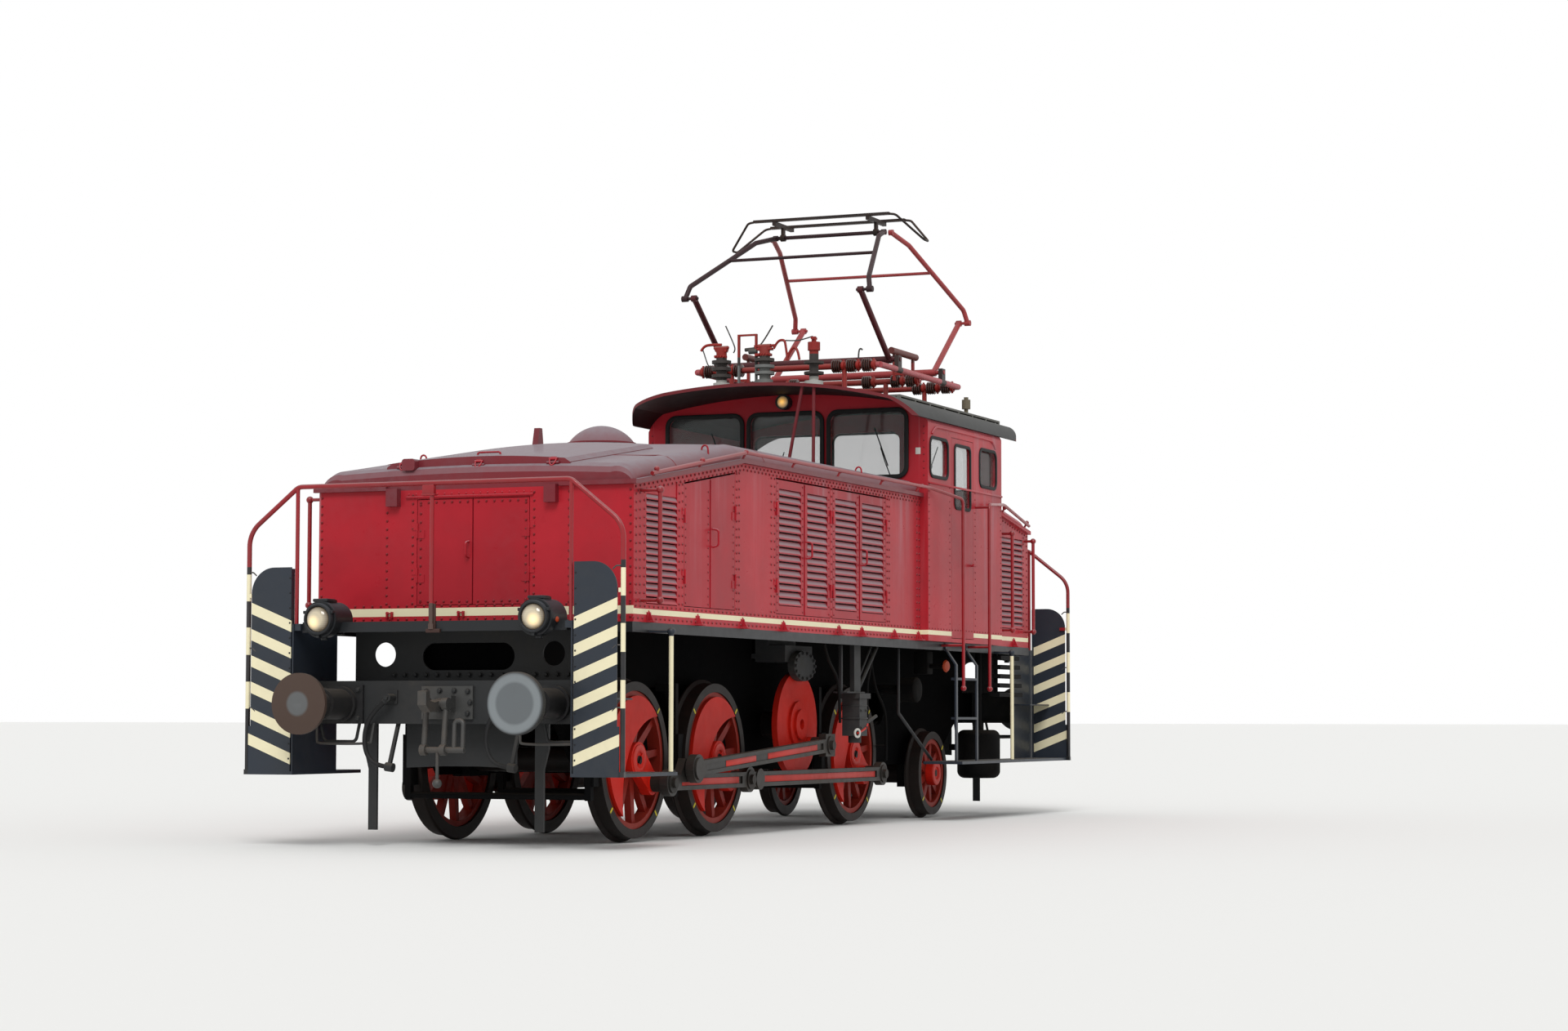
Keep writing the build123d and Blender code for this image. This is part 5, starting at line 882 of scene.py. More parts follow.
@dataclass
class Lamps:
    """Lenses, rims and small marks of the headlamps and the lamps over the cab windows.

    x, y, z and lens are the middle and the width of a headlamp's glass, the rest the places of the upper lamps.
    """

    x: float = 5274.0
    y: float = 875.0
    z: float = 1650.0
    lens: float = 184.0
    top_x: float = -1388.0
    rear_top_x: float = -3595.0
    top_z: float = 3822.0

    def build(self) -> None:
        """Make the lamps at both ends."""
        rims, lenses, tops, rings = [], [], [], []
        rim = ((0, 88), (10, 92), (18, 100), (16, 112), (4, 118), (-14, 119), (-14, 88), (0, 88))
        for turn in (1, -1):
            for side in (1, -1):
                start = (turn * (self.x - 4), side * self.y, self.z)
                lenses.append(BENCH.lathe(self.dome(self.lens / 2, 46), start, (turn, 0, 0), 32))
                rims.append(BENCH.lathe(rim, start, (turn, 0, 0), 40))
                rims += self.fittings(turn, side)
        BENCH.finish("lamp_lenses", lenses, Finish.LENS, slot="window_glass")
        BENCH.finish("lamp_rims", rims, Finish.BLACK)
        rim = ((0, 55), (12, 58), (12, 68), (-8, 70), (-8, 55), (0, 55))
        for x, turn in ((self.top_x, 1), (self.rear_top_x, -1)):
            tops.append(BENCH.lathe(self.dome(56, 20), (x - turn * 3, 0, self.top_z), (turn, 0, 0), 24))
            rings.append(BENCH.lathe(rim, (x, 0, self.top_z), (turn, 0, 0), 28))
        BENCH.finish("top_lamp_lenses", tops, Finish.TOP_LENS, slot="window_glass")
        BENCH.finish("top_lamp_rings", rings, Finish.BLACK)
        mark = ((0, 1), (0, 20), (8, 18), (10, 1))
        place = (self.x - 110, self.y + 131, self.z - 16)
        BENCH.finish("lamp_mark", [BENCH.lathe(mark, place, (0.1, 1, 0), 16)], Finish.ORANGE)

    def dome(self, radius: float, rise: float) -> list[Pair]:
        """Give the outline of a closed dome of glass."""
        steps = 7
        outline = [(0.0, 0.0), (0.0, radius)]
        for i in range(1, steps):
            angle = i / steps * math.pi / 2
            outline.append((rise * math.sin(angle), radius * math.cos(angle)))
        outline.append((rise, 0.0))
        return outline

    def fittings(self, turn: int, side: int) -> list[Piece]:
        """Make a headlamp's hood ring, clips, hinge and cowl on top."""
        x, y, z = self.x, side * self.y, self.z
        hood = ((0, 118), (0, 134), (-20, 137), (-24, 134), (-24, 118), (0, 118))
        parts = [BENCH.lathe(hood, (turn * (x - 24), y, z), (turn, 0, 0), 40)]
        for angle in (25, 155, 270):
            cy, cz = y + math.cos(math.radians(angle)) * 124, z + math.sin(math.radians(angle)) * 124
            parts.append(BENCH.bar((turn * (x - 40), cy - 11, cz - 11), (turn * (x + 4), cy + 11, cz + 11), 3))
        parts.append(BENCH.bar((turn * (x - 150), y - 62, z + 128), (turn * (x - 24), y + 62, z + 152), 8))
        parts.append(BENCH.rod((turn * (x - 92), y, z - 150), (turn * (x - 92), y, z - 118), 54, 16, 4))
        return parts


@dataclass
class Bonnet:
    """Rivets, strips, clamps and feet of both bonnets, and dark plates behind the louvres as painted shade.

    The walls stand at wall_y, and the gutter falls from top_z at peak_x to front_z at end_x, and from rear_top_z at
    rear_x to rear_end_z at the rear. A rivet has its diameter and rise, and a door its name, front and rear edge.
    """

    wall_y: float = 1310.0
    end_x: float = 4545.0
    peak_x: float = 2590.0
    front_z: float = 2628.0
    top_z: float = 2923.0
    cab_x: float = -1464.0
    deck_z: float = 1633.0
    rear_x: float = -3519.0
    rear_top_z: float = 2908.0
    rear_end_z: float = 2748.0
    rivet: Pair = (21.0, 9.0)
    pitch: float = 62.0
    side_doors: tuple[tuple[str, float, float], ...] = (
        ("1", 3667.0, 3188.0), ("2", 3188.0, 2709.0), ("3", 1891.0, 1292.0), ("4", 1292.0, 716.0), ("5", 670.0, 49.0),
        ("6", 49.0, -595.0))

    def gutter(self, x: float) -> float:
        """Give the height of the gutter at a place along either bonnet."""
        if x > self.cab_x:
            slope = (self.top_z - self.front_z) / (self.end_x - self.peak_x)
            return self.top_z - max(0.0, x - self.peak_x) * slope
        slope = (self.rear_top_z - self.rear_end_z) / (self.end_x + self.rear_x)
        return self.rear_top_z - (self.rear_x - x) * slope

    def build(self) -> None:
        """Make every fitting of both bonnets."""
        self.rivet_rows()
        self.end_trim()
        self.lid_fittings()
        self.roof_seams()
        self.sill_feet()
        self.louvre_shade_plates()

    def column(self, x: float, low: float, high: float, side: int) -> list[tuple[Point, Point]]:
        """Give places for an upright row of rivets on a side wall."""
        return [((x, side * self.wall_y, z), (0, side, 0)) for z in spaced(low, high, self.pitch)]

    def edge(self, start: float, end: float, pitch: float, side: int, drop: Pair) -> list[tuple[Point, Point]]:
        """Give places along the gutter, lowered by the first drop, and half a pitch back by the second, if any."""
        places = []
        for x in spaced(start, end, pitch):
            places.append(((x, side * self.wall_y, self.gutter(x) - drop[0]), (0, side, 0)))
            if drop[1]:
                places.append(((x - pitch / 2, side * self.wall_y, self.gutter(x) - drop[1]), (0, side, 0)))
        return places

    def rivet_rows(self) -> None:
        """Rivet the walls' seams, the ends, the doors and the edge under the gutter."""
        places: list[tuple[Point, Point]] = []
        low = self.deck_z + 150
        for side, _ in SIDES:
            for x in (4505, 4440, 4365, 3755, 3695, 2682, 2632, 1988, 1918, 693, -622, -672, -1372, -1430):
                places += self.column(x, low, self.gutter(x) - 75, side)
            for x in (-3560, -3700, -4400, -4505):
                places += self.column(x, low, self.gutter(x) - 60, side)
            places += self.edge(4510, -1430, 74, side, (22, 50)) + self.edge(-3560, -4510, 74, side, (26, 0))
            for x in spaced(4510, -1430, 78):
                places += [((x + dx, side * self.wall_y, self.deck_z + dz), (0, side, 0))
                           for dx, dz in ((0, 116), (39, 28))]
        for turn, top in ((1, self.front_z), (-1, self.rear_end_z)):
            for y in (-1285, -724, -505, 505, 791, 1285):
                places += [((turn * self.end_x, y, z), (turn, 0, 0)) for z in spaced(low, top - 40, self.pitch)]
            for y in spaced(-1285, 1285, 74):
                places += [((turn * self.end_x, y, self.deck_z + dz), (turn, 0, 0)) for dz in (132, 34)]
        BENCH.rivets("bonnet_rivets", places, self.rivet)
        for side, name in SIDES:
            places = [((self.end_x, side * 438, z), (1, 0, 0)) for z in spaced(low + 20, 2515, self.pitch)]
            for height in (2532, low + 12):
                places += [((self.end_x, side * y, height), (1, 0, 0)) for y in spaced(45, 438, 66)]
            BENCH.rivets("end_door_rivets_" + name, places, self.rivet, "door_end_" + name)
            for door, front, rear in self.side_doors:
                top = self.gutter(front) - 106
                places = self.column(front - 30, self.deck_z + 165, top, side)
                places += self.column(rear + 34, self.deck_z + 165, top, side)
                BENCH.rivets(f"door_rivets_{name}_{door}", places, (17, 7), f"door_{name}_{door}")

    def end_trim(self) -> None:
        """Make the drip strip over the end doors, and their stops."""
        x, low = self.end_x, self.deck_z + 42
        parts = [BENCH.bar((x - 2, -560, 2566), (x + 16, 500, 2582), 4),
                 BENCH.repeat(BENCH.rivet(15, 6), [((x, y, 2596), (1, 0, 0)) for y in spaced(-540, 480, 60)])]
        for y in (-690, -90):
            parts += [BENCH.bar((x - 2, y - 26, low), (x + 26, y - 14, low + 50), 3),
                      BENCH.bar((x - 2, y + 14, low), (x + 26, y + 26, low + 50), 3),
                      BENCH.rod((x + 16, y - 30, low + 38), (x + 16, y + 30, low + 38), 12)]
        BENCH.finish("end_trim", parts, Finish.DOOR, slot="body_red")

    def lid_fittings(self) -> None:
        """Make the lid's clamps with their rings and the lifting handle."""
        x, z = 4484.0, self.front_z + 205
        parts = []
        for y in (-620, 15, 630):
            ring = [(x + 6, y - 26, z), (x + 26, y - 26, z - 28), (x + 34, y, z - 54), (x + 26, y + 26, z - 28),
                    (x + 6, y + 26, z)]
            parts += [BENCH.rod((x + 4, y - 34, z), (x + 4, y + 34, z), 18), BENCH.tube(ring, 11, 3),
                      BENCH.bar((x - 40, y - 22, z + 4), (x + 8, y + 22, z + 16), 3)]
        parts.append(BENCH.tube(at_x(4300, (-100, 2868), (-92, 2916), (92, 2916), (100, 2868)), 16))
        BENCH.finish("lid_clamps", parts, Finish.DOOR, slot="body_red")

    def roof_seams(self) -> None:
        """Make the seams where the roof's sheets meet, and the four lifting eyes beside them."""
        profile = ((600, 3094), (1000, 3079), (1150, 3075), (1220, 3058), (1260, 3030), (1285, 2999), (1300, 2969))
        across = [(-y, z) for y, z in profile[::-1]] + [(0, 3103), *profile]
        seams = [BENCH.tube(at_x(x, *((y, z - drop) for y, z in across)), 9) for x, drop in ((2110, 0), (3765, 177))]
        BENCH.finish("roof_seams", seams, Finish.RIVETS, slot="body_red")
        loop = ((1198, 0), (1196, 34), (1226, 56), (1256, 34), (1254, -30))
        eyes = [BENCH.tube(at_x(x, *((side * y, z + rise) for y, rise in loop)), 15, 3)
                for x, z in ((3100, 2974), (-150, 3048)) for side, _ in SIDES]
        BENCH.finish("roof_eyes", eyes, Finish.DOOR, slot="body_red")

    def sill_feet(self) -> None:
        """Make the small triangular feet along the sill, and the joints of the rail along the gutter."""
        feet = [part for x in (4289, 3418, 2564, 1737, 527, -3, -795, -1400, -4090) for part in self.foot(x)]
        BENCH.finish("sill_feet", feet + [BENCH.mirror(foot) for foot in feet], Finish.DOOR, slot="body_red")
        ball = ((-21, 0), (-18, 11), (-10, 19), (0, 22), (10, 19), (18, 11), (21, 0))
        balls = []
        for x in (4250, 3430, 2600, 1600, 600, -400, -1300, -3700, -4380):
            y = self.wall_y + (46 if x > -700 or x < -3600 else 78)
            balls.append(BENCH.lathe(ball, (x, y, self.gutter(x) + 84), (1, 0, 0), 14))
        balls += [BENCH.mirror(joint) for joint in balls]
        BENCH.finish("rail_joints", balls, Finish.RAIL, slot="body_red")

    def foot(self, x: float) -> list[Piece]:
        """Make one foot: a plate on the sill and a pointed web that crosses the cream line."""
        y, z = self.wall_y, self.deck_z
        BENCH.pick()
        bpy.ops.mesh.primitive_cone_add(vertices=4, radius1=0.5, radius2=0.06, depth=1.0)
        web = bpy.context.object
        width, depth, height = 0.028, 0.14, 0.088
        BENCH.carry(web, (x, y, z + 44),
                    Matrix.Diagonal((width, depth, height, 1.0)) @ Matrix.Rotation(math.radians(45), 4, "Z"))
        BENCH.soften(web, 2)
        return [web, BENCH.bar((x - 40, y - 2, z - 1), (x + 40, y + 60, z + 10), 3),
                BENCH.bar((x - 34, y - 2, z + 6), (x + 34, y + 8, z + 74), 3)]

    def louvre_shade_plates(self) -> None:
        """Hang dark plates behind the louvres as painted shade, so that they look into a dark engine room."""
        low, top = self.deck_z + 205, self.top_z - 142
        for side, name in SIDES:
            y = side * (self.wall_y - 30)
            for door, front, rear in (("3", 1886, 1297), ("4", 1287, 721), ("5", 665, 54), ("6", 44, -590)):
                plate = BENCH.bar((rear + 64, y - 2, low), (front - 64, y + 2, top), 0.5)
                BENCH.finish(f"louvre_shade_plate_{name}_{door}", [plate], Finish.DARK, f"door_{name}_{door}")
            y = side * (self.wall_y - 39)
            plates = [BENCH.bar((3794, y - 2, self.deck_z + 140), (4326, y + 2, 2560), 0.5),
                      BENCH.bar((-4370, y - 2, self.deck_z + 176), (-3734, y + 2, 2684), 0.5)]
            BENCH.finish(f"louvre_shade_plate_{name}_fixed", plates, Finish.DARK)


# turns that stand a flat ring up in a wall across the locomotive, and in one along it
ACROSS = Matrix(((0, 0, 1, 0), (1, 0, 0, 0), (0, 1, 0, 0), (0, 0, 0, 1)))
ALONG = Matrix(((1, 0, 0, 0), (0, 0, -1, 0), (0, 1, 0, 0), (0, 0, 0, 1)))


@dataclass
class Cab:
    """Window rubbers, wipers, mouldings, blank plates and rivets of the cab.

    All windows start at low_z. A window of an end wall has its limits along y, and one of a side wall along x.
    """

    front_x: float = -1464.0
    rear_x: float = -3519.0
    side_y: float = 1385.0
    low_z: float = 3116.0
    side_top_z: float = 3468.0
    end_top_z: float = 3718.0
    end_windows: tuple[Pair, ...] = ((-1182, -430), (-362, 362), (430, 1182))
    side_windows: tuple[Pair, ...] = ((-1512, -1992), (-2872, -3356))

    @property
    def ends(self) -> tuple[Pair, Pair]:
        """Both end walls: their place and the way they face."""
        return ((self.front_x, 1), (self.rear_x, -1))

    def build(self) -> None:
        """Make the cab's fittings."""
        self.rubbers()
        self.wipers()
        self.mouldings()
        self.rivet_rows()

    def rubbers(self) -> None:
        """Make a rubber frame around every window and in the doors."""
        rings = []
        low, high = self.low_z, self.end_top_z
        for x, turn in self.ends:
            for a, b in self.end_windows:
                ring = BENCH.ring(b - a + 44, high - low + 44, 108, 40, 22)
                rings.append(BENCH.carry(ring, (x + turn * 14 - 11, (a + b) / 2, (low + high) / 2), ACROSS))
        for side, _ in SIDES:
            for a, b in self.side_windows:
                rings.append(self.side_ring(a, b, self.low_z, self.side_top_z, side, 88))
        BENCH.finish("window_rubbers", rings, Finish.RUBBER)
        for side, name in SIDES:
            ring = self.side_ring(-2176, -2609, 2868, 3448, side, 66)
            y = side * (self.side_y - 20)
            pane = BENCH.bar((-2606, y - 3, 2871), (-2179, y + 3, 3445), 0.5)
            BENCH.finish("door_rubber_" + name, [ring], Finish.RUBBER, "door_cab_" + name)
            BENCH.finish("door_pane_" + name, [pane], Finish.GLASS, "door_cab_" + name, "window_glass")

    def side_ring(self, a: float, b: float, low: float, high: float, side: int, corner: float) -> Piece:
        """Make one rubber frame on a side wall."""
        ring = BENCH.ring(abs(b - a) + 30, high - low + 30, corner, 30, 16)
        return BENCH.carry(ring, ((a + b) / 2, side * (self.side_y + 10), (low + high) / 2), ALONG)

    def wipers(self) -> None:
        """Make a wiper on the outer front and rear windows."""
        parts = []
        for x, turn in self.ends:
            for y in (-560, 1050):
                arm = [(x + turn * 34, turn * y, 3086), (x + turn * 42, turn * (y - 60), 3240),
                       (x + turn * 28, turn * (y - 110), 3380)]
                blade = at_x(x + turn * 26, (turn * (y - 40), 3210), (turn * (y - 170), 3560))
                parts += [BENCH.rod((x, turn * y, 3086), (x + turn * 40, turn * y, 3086), 30, 12, 3),
                          BENCH.tube(arm, 10), BENCH.tube(blade, 12)]
        BENCH.finish("wipers", parts, Finish.RUBBER)

    def mouldings(self) -> None:
        """Make the rain moulding over the side windows and the blank plates beside the front windows."""
        parts = []
        for side, _ in SIDES:
            y = side * (self.side_y + 4)
            run = at_y(y, (-1560, 3500), (-1640, 3560), (-1720, 3572), (-3160, 3572), (-3260, 3560), (-3330, 3500))
            parts += [BENCH.tube(run, 20, 3), BENCH.bar((self.rear_x, y - 8, 3046), (self.front_x, y + 8, 3064), 4)]
        BENCH.finish("cab_mouldings", parts, Finish.BODY, slot="body_red")
        plates = [BENCH.bar((x - turn, y - 24, 3310), (x + turn * 5, y + 24, 3370), 2)
                  for x, turn in self.ends for y in (-1290, 1290)]
        BENCH.finish("blank_plates", plates, Finish.WHITE)

    def rivet_rows(self) -> None:
        """Rivet the cab's corners and its edge under the roof."""
        places: list[tuple[Point, Point]] = []
        for side, _ in SIDES:
            for x in (-1490, -2040, -2745, -3490):
                places += [((x, side * self.side_y, z), (0, side, 0)) for z in spaced(1800, 3040, 62)]
            places += [((x, side * self.side_y, 1745), (0, side, 0)) for x in spaced(-1490, -3490, 78)]
            for x, turn in self.ends:
                places += [((x, side * 1345, z), (turn, 0, 0)) for z in spaced(3120, 3560, 62)]
        BENCH.rivets("cab_rivets", places, (15, 6))


@dataclass
class Ends:
    """Rivets, bolts, handles and small rods at the buffer beams and shields."""

    beam_x: float = 4900.0
    beam_top_z: float = 1208.0
    buffer_y: float = 875.0
    buffer_z: float = 1038.0
    shield_x: float = 5189.0

    def build(self) -> None:
        """Make the fittings at both ends."""
        bolts, rods, rivets = [], [], []
        for turn in (1, -1):
            x, z = turn * (self.beam_x + 22), self.buffer_z
            heads = [(turn * 4600, turn * y, self.beam_top_z + 46) for y in spaced(-620, 1000, 92)]
            heads += [(x + turn * 2, side * self.buffer_y + dy, z + dz)
                      for side, _ in SIDES for dy in (-140, 140) for dz in (-104, 104)]
            heads += [(x, turn * y, z + dz) for y, dz in ((-170, 90), (-60, 96), (60, 96), (170, 90), (-170, -70),
                                                          (170, -70), (190, 10), (-190, 10))]
            bolts.append(BENCH.repeat(BENCH.bolt(30, 20), [(head, (turn, 0, 0)) for head in heads]))
            for side, _ in SIDES:
                a, b = side * 600, side * 1080
                hanger = [(4930, a, 900), (4950, a + side * 10, 770), (4950, a + side * 20, 748),
                          (4950, b - side * 20, 748), (4950, b - side * 10, 770), (4930, b, 900)]
                rods.append(BENCH.tube([(turn * px, py, pz) for px, py, pz in hanger], 20, 3))
                places = [((turn * self.shield_x, side * 1163, height), (turn, 0, 0))
                          for height in spaced(640, 1960, 110)]
                rivets.append(BENCH.repeat(BENCH.rivet(16, 6), places))
            rods += self.pole_ties(turn)
        self.strut()
        BENCH.finish("end_bolts", bolts, Finish.BEAM, slot="frame_black")
        BENCH.finish("shunter_rods", rods, Finish.IRON, slot="frame_black")
        BENCH.finish("shield_rivets", rivets, Finish.BLACK, slot="frame_black")

    def pole_ties(self, turn: int) -> list[Piece]:
        """Make the thin ties between the corner poles and the shields."""
        ties = []
        for side, _ in SIDES:
            for z in (2004, 1448, 1010):
                bends = ((self.shield_x - 4, 1452, z - 24), (self.shield_x - 4, 1480, z), (self.shield_x - 22, 1524, z))
                ties.append(BENCH.tube([(turn * px, side * py, pz) for px, py, pz in bends], 11))
        return ties

    def strut(self) -> None:
        """Make the bracket and the brown foot plates of the centre struts."""
        boxes, feet = [], []
        for turn in (1, -1):
            x = turn * 5167
            boxes += [BENCH.bar((x - 20, -74, 2540), (x + 20, 22, 2614), 6),
                      BENCH.bar((x - 26, -80, 2534), (x + 26, 28, 2546), 3)]
            places = [((turn * 5160, y, z), (turn, 0, 0)) for y, z in ((0, 1590), (0, 1740), (-30, 1562), (54, 1562))]
            feet += [BENCH.bar((turn * 5149, -26, 1556), (turn * 5162, 30, 1756), 3),
                     BENCH.bar((turn * 5149, -44, 1548), (turn * 5172, 70, 1576), 3),
                     BENCH.repeat(BENCH.bolt(17, 9), places)]
        BENCH.finish("strut_brackets", boxes, Finish.RAIL, slot="body_red")
        BENCH.finish("strut_feet", feet, Finish.BROWN, slot="frame_black")


@dataclass
class Wheels:
    """Slip marks and hub rings of the wheels, and the red flutes of the rods.

    The crank's throw and its angle at rest in degrees give the pins, and the rods run in planes at rod_y and drive_y.
    """

    crank: float = 280.0
    angle: float = 218.75
    rod_y: float = 1000.0
    drive_y: float = 1083.0

    def build(self) -> None:
        """Dress the four wheelsets and both sides' rods."""
        hub = ((0, 60), (0, 116), (8, 114), (12, 106), (12, 70), (8, 60), (0, 60))
        for name, (x, radius) in WHEELS.items():
            z = radius + FLANGE
            marks, rings = [], []
            for side, _ in SIDES:
                for turn in (48, 132, 222, 312):
                    mark = BENCH.bar((-9, side * 819, radius - 68), (9, side * 822, radius - 16), 1)
                    marks.append(BENCH.carry(mark, (x, 0, z), Matrix.Rotation(math.radians(turn), 4, "Y")))
                rings.append(BENCH.lathe(hub, (x, side * 851, z), (0, side, 0), 36))
            BENCH.finish("slip_marks_" + name, marks, Finish.YELLOW, name)
            BENCH.finish("hub_rings_" + name, rings, Finish.RED, name)
        for (side, name), angle in zip(SIDES, (self.angle, self.angle + 90)):
            BENCH.finish("rod_flutes_" + name, self.flutes(side, math.radians(angle)), Finish.RED, "rods_" + name)

    def flutes(self, side: int, angle: float) -> list[Piece]:
        """Make the red bottoms of the flutes of one side's rods."""
        dx, dz = math.cos(angle) * self.crank, math.sin(angle) * self.crank
        pins = [(x + dx, COUPLED_RADIUS + FLANGE + dz) for x in AXLES]
        knuckle = (pins[0][0] - 302, pins[0][1] + 103)
        jack = (JACK[0] + dx, JACK[1] + dz)
        # start, end, distance from the middle, share of the length where the flute begins and ends, half its height
        runs = ((pins[0], pins[1], self.rod_y, 0.13, 0.86, 26), (pins[1], pins[2], self.rod_y, 0.09, 0.94, 26),
                (knuckle, jack, self.drive_y, 0.20, 0.42, 24), (knuckle, jack, self.drive_y, 0.51, 0.90, 24))
        strips = []
        for start, end, y, low, high, half in runs:
            length = math.dist(start, end)
            strip = BENCH.bar((low * length, side * (y + 18), -half), (high * length, side * (y + 22), half), 1.5)
            turn = Matrix.Rotation(-math.atan2(end[1] - start[1], end[0] - start[0]), 4, "Y")
            strips.append(BENCH.carry(strip, (start[0], 0, start[1]), turn))
        return strips


@dataclass
class RoofGear:
    """Insulators, terminals, leads and arcing horns on the cab roof.

    Each beam has its x, its z and the places of its insulators along y.
    """

    switch_x: float = -950.0
    beams: tuple[tuple[float, float, tuple[float, ...]], ...] = (
        (-1510.0, 4143.0, (445.0, 590.0, 740.0)), (-3634.0, 4143.0, (445.0, 590.0, 740.0)),
        (-2572.0, 4103.0, (330.0, 620.0, 770.0)))

    def build(self) -> None:
        """Make everything on the roof that the solids leave out."""
        self.insulators()
        self.terminals()
        self.leads()

    def insulators(self) -> None:
        """Make the ribbed porcelain on the beams, and the clamp at each one's end."""
        ribs: list[Pair] = [(0, 0), (0, 34)]
        for start in (0, 21, 42, 63):
            ribs += [(start + along, radius) for along, radius in ((2, 42), (5, 58), (10.5, 62), (16, 58), (19, 42))]
        ribs += [(84, 34), (84, 0)]
        clamp = ((0, 0), (0, 38), (6, 46), (30, 46), (36, 38), (36, 0))
        seats = [(x, side, y, z) for x, z, groups in self.beams for side, _ in SIDES for y in groups]
        porcelain = [BENCH.lathe(ribs, (x, side * y, z), (0, side, 0), 20) for x, side, y, z in seats]
        BENCH.finish("beam_insulators", porcelain, Finish.CERAMIC)
        clamps = []
        for x, side, y, z in seats:
            clamps += [BENCH.lathe(clamp, (x, side * (y + 90), z), (0, side, 0), 16),
                       BENCH.bar((x - 9, side * (y + 98), z - 58), (x + 9, side * (y + 116), z + 58), 3)]
        BENCH.finish("beam_clamps", clamps, Finish.TERMINAL)

    def terminals(self) -> None:
        """Make the cast terminals with their bolts on the switch posts, and the contact between them."""
        x, red = self.switch_x, []
        for y, reach in ((-417, 62), (8, 88)):
            heads = [((x + dx, y + dy, 4270), (0, 0, 1)) for dx in (-14, 14) for dy in (-40, 0, 40)]
            heads += [((x + 34, y + dy, 4209), (1, 0, 0)) for dy in (-42, -14, 14, 42)]
            red += [BENCH.bar((x - 34, y - reach, 4196), (x + 34, y + reach * 0.7, 4222), 6),
                    BENCH.bar((x - 26, y - reach * 0.8, 4248), (x + 26, y + reach * 0.9, 4272), 6),
                    BENCH.repeat(BENCH.bolt(18, 24), heads),
                    BENCH.rod((x, y - reach - 14, 4290), (x, y + reach + 10, 4290), 26, 12, 3)]
        BENCH.finish("switch_terminals", red, Finish.TERMINAL)
        dark = [BENCH.rod((x - 10, -190, 4262), (x - 10, 40, 4276), 34, 14, 4),
                BENCH.rod((x + 16, -140, 4240), (x + 16, -60, 4240), 46, 14, 5),
                BENCH.tube(at_x(x, (-377, 4488), (-300, 4330), (-278, 4262), (-300, 4240)), 13, 3),
                BENCH.tube(at_x(x, (86, 4472), (-20, 4300), (-60, 4280)), 15, 3)]
        BENCH.finish("arcing_horns", dark, Finish.IRON)

    def leads(self) -> None:
        """Make the bent leads between the posts and down to the roof, and the hook beside the front beam."""
        x = self.switch_x
        red = [BENCH.tube(at_x(x, (-620, 4268), (-600, 4305), (-540, 4326), (-417, 4318)), 26, 3),
               BENCH.tube(at_x(x, (96, 4260), (130, 4330), (200, 4338), (212, 4290), (232, 4150)), 24, 3),
               BENCH.tube(at_x(x, (222, 4150), (262, 4262), (330, 4262), (346, 4150)), 24, 3)]
        BENCH.finish("red_leads", red, Finish.TERMINAL)
        dark = [BENCH.tube(at_x(x, (-609, 4300), (-570, 4180), (-540, 4115), (-484, 4112)), 12, 3),
                BENCH.tube(at_x(x, (212, 4330), (300, 4322), (380, 4330), (475, 4356)), 12, 3),
                BENCH.tube(at_x(-1510, (697, 4195), (698, 4275), (720, 4302), (736, 4282)), 16, 3)]
        BENCH.finish("thin_leads", dark, Finish.IRON)


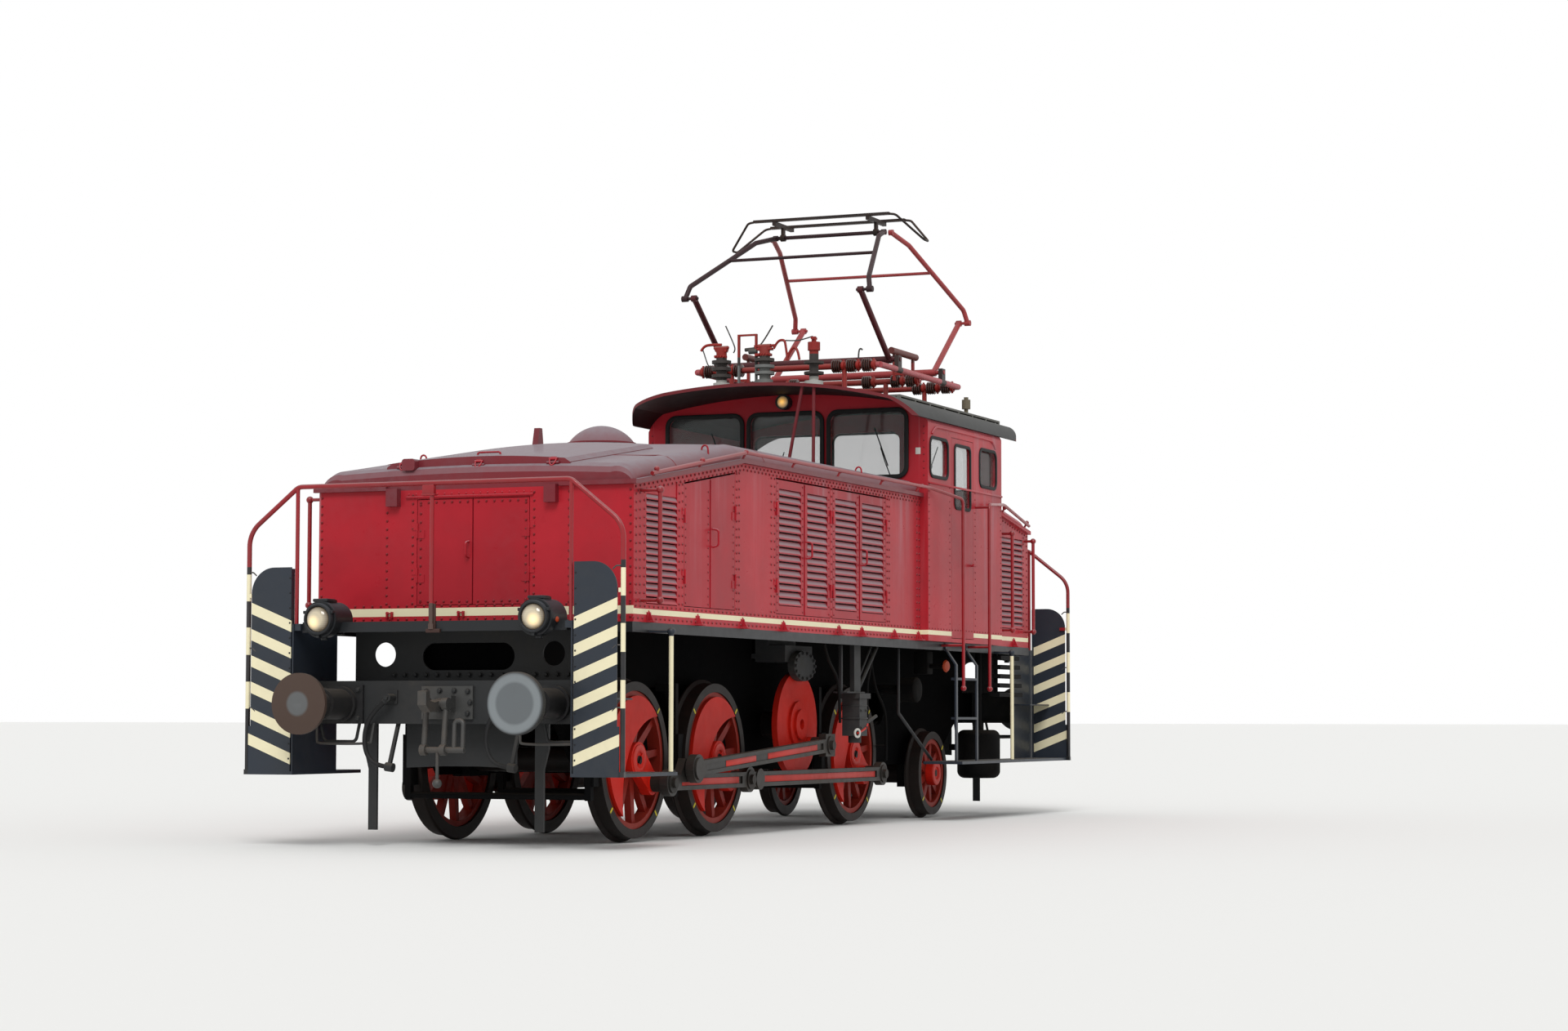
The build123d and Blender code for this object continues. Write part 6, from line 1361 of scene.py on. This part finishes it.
@dataclass
class Under:
    """Brackets, pipes, bolts and small gear that hang under the deck, alike on both sides."""

    deck_low: float = 1562.0
    frame_y: float = 604.0

    def build(self) -> None:
        """Make one side's gear and mirror it."""
        self.both("under_struts", self.struts(), Finish.STRUT)
        self.both("under_pipes", self.pipes(), Finish.UNDER)
        lever = BENCH.tube([(-100, 1236, 812), (-330, 1228, 842), (-352, 1228, 892)], 20, 3)
        self.both("pump_levers", [lever], Finish.RED)
        ring = BENCH.lathe(((0, 24), (0, 42), (8, 42), (8, 24), (0, 24)), (-96, 1232, 812), (0.35, 1, 0), 24)
        self.both("gauge_rings", [ring], Finish.WHITE)
        disc = BENCH.lathe(((0, 0), (0, 50), (12, 58), (26, 46), (32, 0)), (-2575, 1144, 1424), (0.2, 1, 0), 28)
        self.both("cock_wheels", [disc], Finish.ORANGE)

    def both(self, name: str, pieces: list[Piece], finish: Finish) -> None:
        """Finish pieces together with their mirror images."""
        BENCH.finish(name, pieces + [BENCH.mirror(piece) for piece in pieces], finish, slot="frame_black")

    def struts(self) -> list[Piece]:
        """Make the pump's bracket with its slanting struts, and the bolts on the gear case."""
        top = self.deck_low
        turns = [math.tau * i / 14 for i in range(14)]
        lid = [((440 + 212 * math.cos(turn), 968, 1378 + 108 * math.sin(turn)), (0, 1, 0)) for turn in turns]
        corners = [((x, 1230, z), (0, 1, 0)) for x in (-310, -190) for z in (860, 1006)]
        return [BENCH.bar((52, 1132, 1146), (84, 1160, top), 4), BENCH.bar((-336, 1082, 1152), (86, 1214, 1166), 4),
                BENCH.bar((-344, 1066, 1040), (-156, 1234, 1052), 3),
                BENCH.bar((-350, 1062, 930), (-150, 1238, 944), 3),
                BENCH.rod((-300, 1150, 1160), (-780, 1150, top), 34, 10, 3),
                BENCH.rod((-210, 1150, 1160), (-640, 1150, top), 18, 10),
                BENCH.rod((-1364, 1136, 984), (-2226, 1136, 560), 30, 12, 4),
                BENCH.rod((-1364, 1136, 976), (-1364, 1136, top), 26, 12, 4),
                BENCH.repeat(BENCH.bolt(24, 16), lid), BENCH.repeat(BENCH.bolt(18, 12), corners)]

    def pipes(self) -> list[Piece]:
        """Make the sand and oil pipes, an air drum and a cock's housing."""
        top = self.deck_low
        drum = ((0, 0), (0, 96), (12, 112), (170, 116), (184, 104), (192, 60), (192, 0))
        return [BENCH.tube(at_y(1186, (542, top), (470, 1430), (243, 1291), (196, 1100), (183, 900)), 26, 3),
                BENCH.tube(at_y(1150, (-760, top), (-560, 1300), (-554, 1100), (-554, 902)), 22, 3),
                BENCH.tube(at_y(905, (-1250, top), (-1339, 1230), (-1617, 1040), (-1671, 880), (-1660, 560)), 26, 3),
                BENCH.rod((-1664, self.frame_y, 690), (-1664, 905, 690), 20, 10, 2),
                BENCH.lathe(drum, (-2260, 812, 1202), (0, 1, 0), 32),
                BENCH.rod((-2260, self.frame_y, 1202), (-2260, 816, 1202), 90, 20, 6),
                BENCH.bar((-2650, 860, 1350), (-2500, 1000, top), 10),
                BENCH.rod((-2575, 990, 1424), (-2575, 1146, 1424), 44, 16, 4)]


@dataclass
class Dresser:
    """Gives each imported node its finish."""

    finishes: dict[Finish, str] = field(default_factory=lambda: {
        Finish.BODY: "bonnet_walls bonnet_rear cab_walls", Finish.ROOF: "bonnet_roof roof_hatch",
        Finish.CAB_ROOF: "cab_roof", Finish.FRAME: "main_frame", Finish.STRUT: "gear_cases",
        Finish.END_RAIL: "rails_front rails_side", Finish.MAST_BASE: "mast_base", Finish.ARM_HALF_SHADE: "mast_lower_front",
        Finish.ARM_SUNLIT: "mast_lower_rear mast_upper_rear", Finish.ARM_FULL_SHADE: "mast_upper_front",
        Finish.SHOE: "mast_shoes", Finish.BLACK: "deck headlamps", Finish.SHIELD: "steps_front steps_rear",
        Finish.BEAM: "beam_front beam_rear", Finish.BUFFER: "buffers_front buffers_rear",
        Finish.IRON: "draw_gear_front draw_gear_rear", Finish.RODS: "rods_left rods_right",
        Finish.INSIDE: "cab_inside", Finish.GLASS: "cab_glass", Finish.MACHINE: "motor_blocks",
        Finish.ROOF_GEAR: "roof_gear"})

    def dress(self, nodes: dict[str, Piece]) -> None:
        """Assign a material to every node.

        Args:
            nodes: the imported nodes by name.
        """
        chosen = {name: finish for finish, names in self.finishes.items() for name in names.split()}
        for name, node in nodes.items():
            if name.startswith("wheelset") or name == "jackshaft":
                material = self.wheel_paint(name).build()
            else:
                rest = Finish.DOOR if name.startswith("door") else Finish.UNDER
                material = material_of(chosen.get(name, rest))
            node.data.materials.clear()
            node.data.materials.append(material)
        LOG.info("dressed %d nodes", len(nodes))

    def wheel_paint(self, name: str) -> Paint:
        """Give the paint of one wheelset: clear red within a dark tyre, with a dull hub face."""
        zones: tuple[Zone, ...] = (Zone("1d1b1a", y=(0, 752)),)
        if name in WHEELS:
            zones += wheel_zones(*WHEELS[name])
        zones += (Zone("2b2926", y=(872 if name in WHEELS else 952, 1200)),)
        return Paint("red wheel enamel of " + name, "cf2417", "5a3028", 0.2, 0.16, 0.0, 0.42, (120.0, 0.3), 0.0, 0.0,
                     zones, 0.12)


def main() -> None:
    """Build the scene in order."""
    logging.basicConfig(level=logging.INFO, format="%(message)s")
    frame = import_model()
    bpy.context.scene.view_settings.view_transform = "Standard"
    Studio().build()
    Hoses().build()
    Dresser().dress(frame["nodes"])
    for assembly in (Lamps(), Bonnet(), Cab(), Ends(), Wheels(), RoofGear(), Under()):
        assembly.build()


if __name__ == "__main__":
    main()
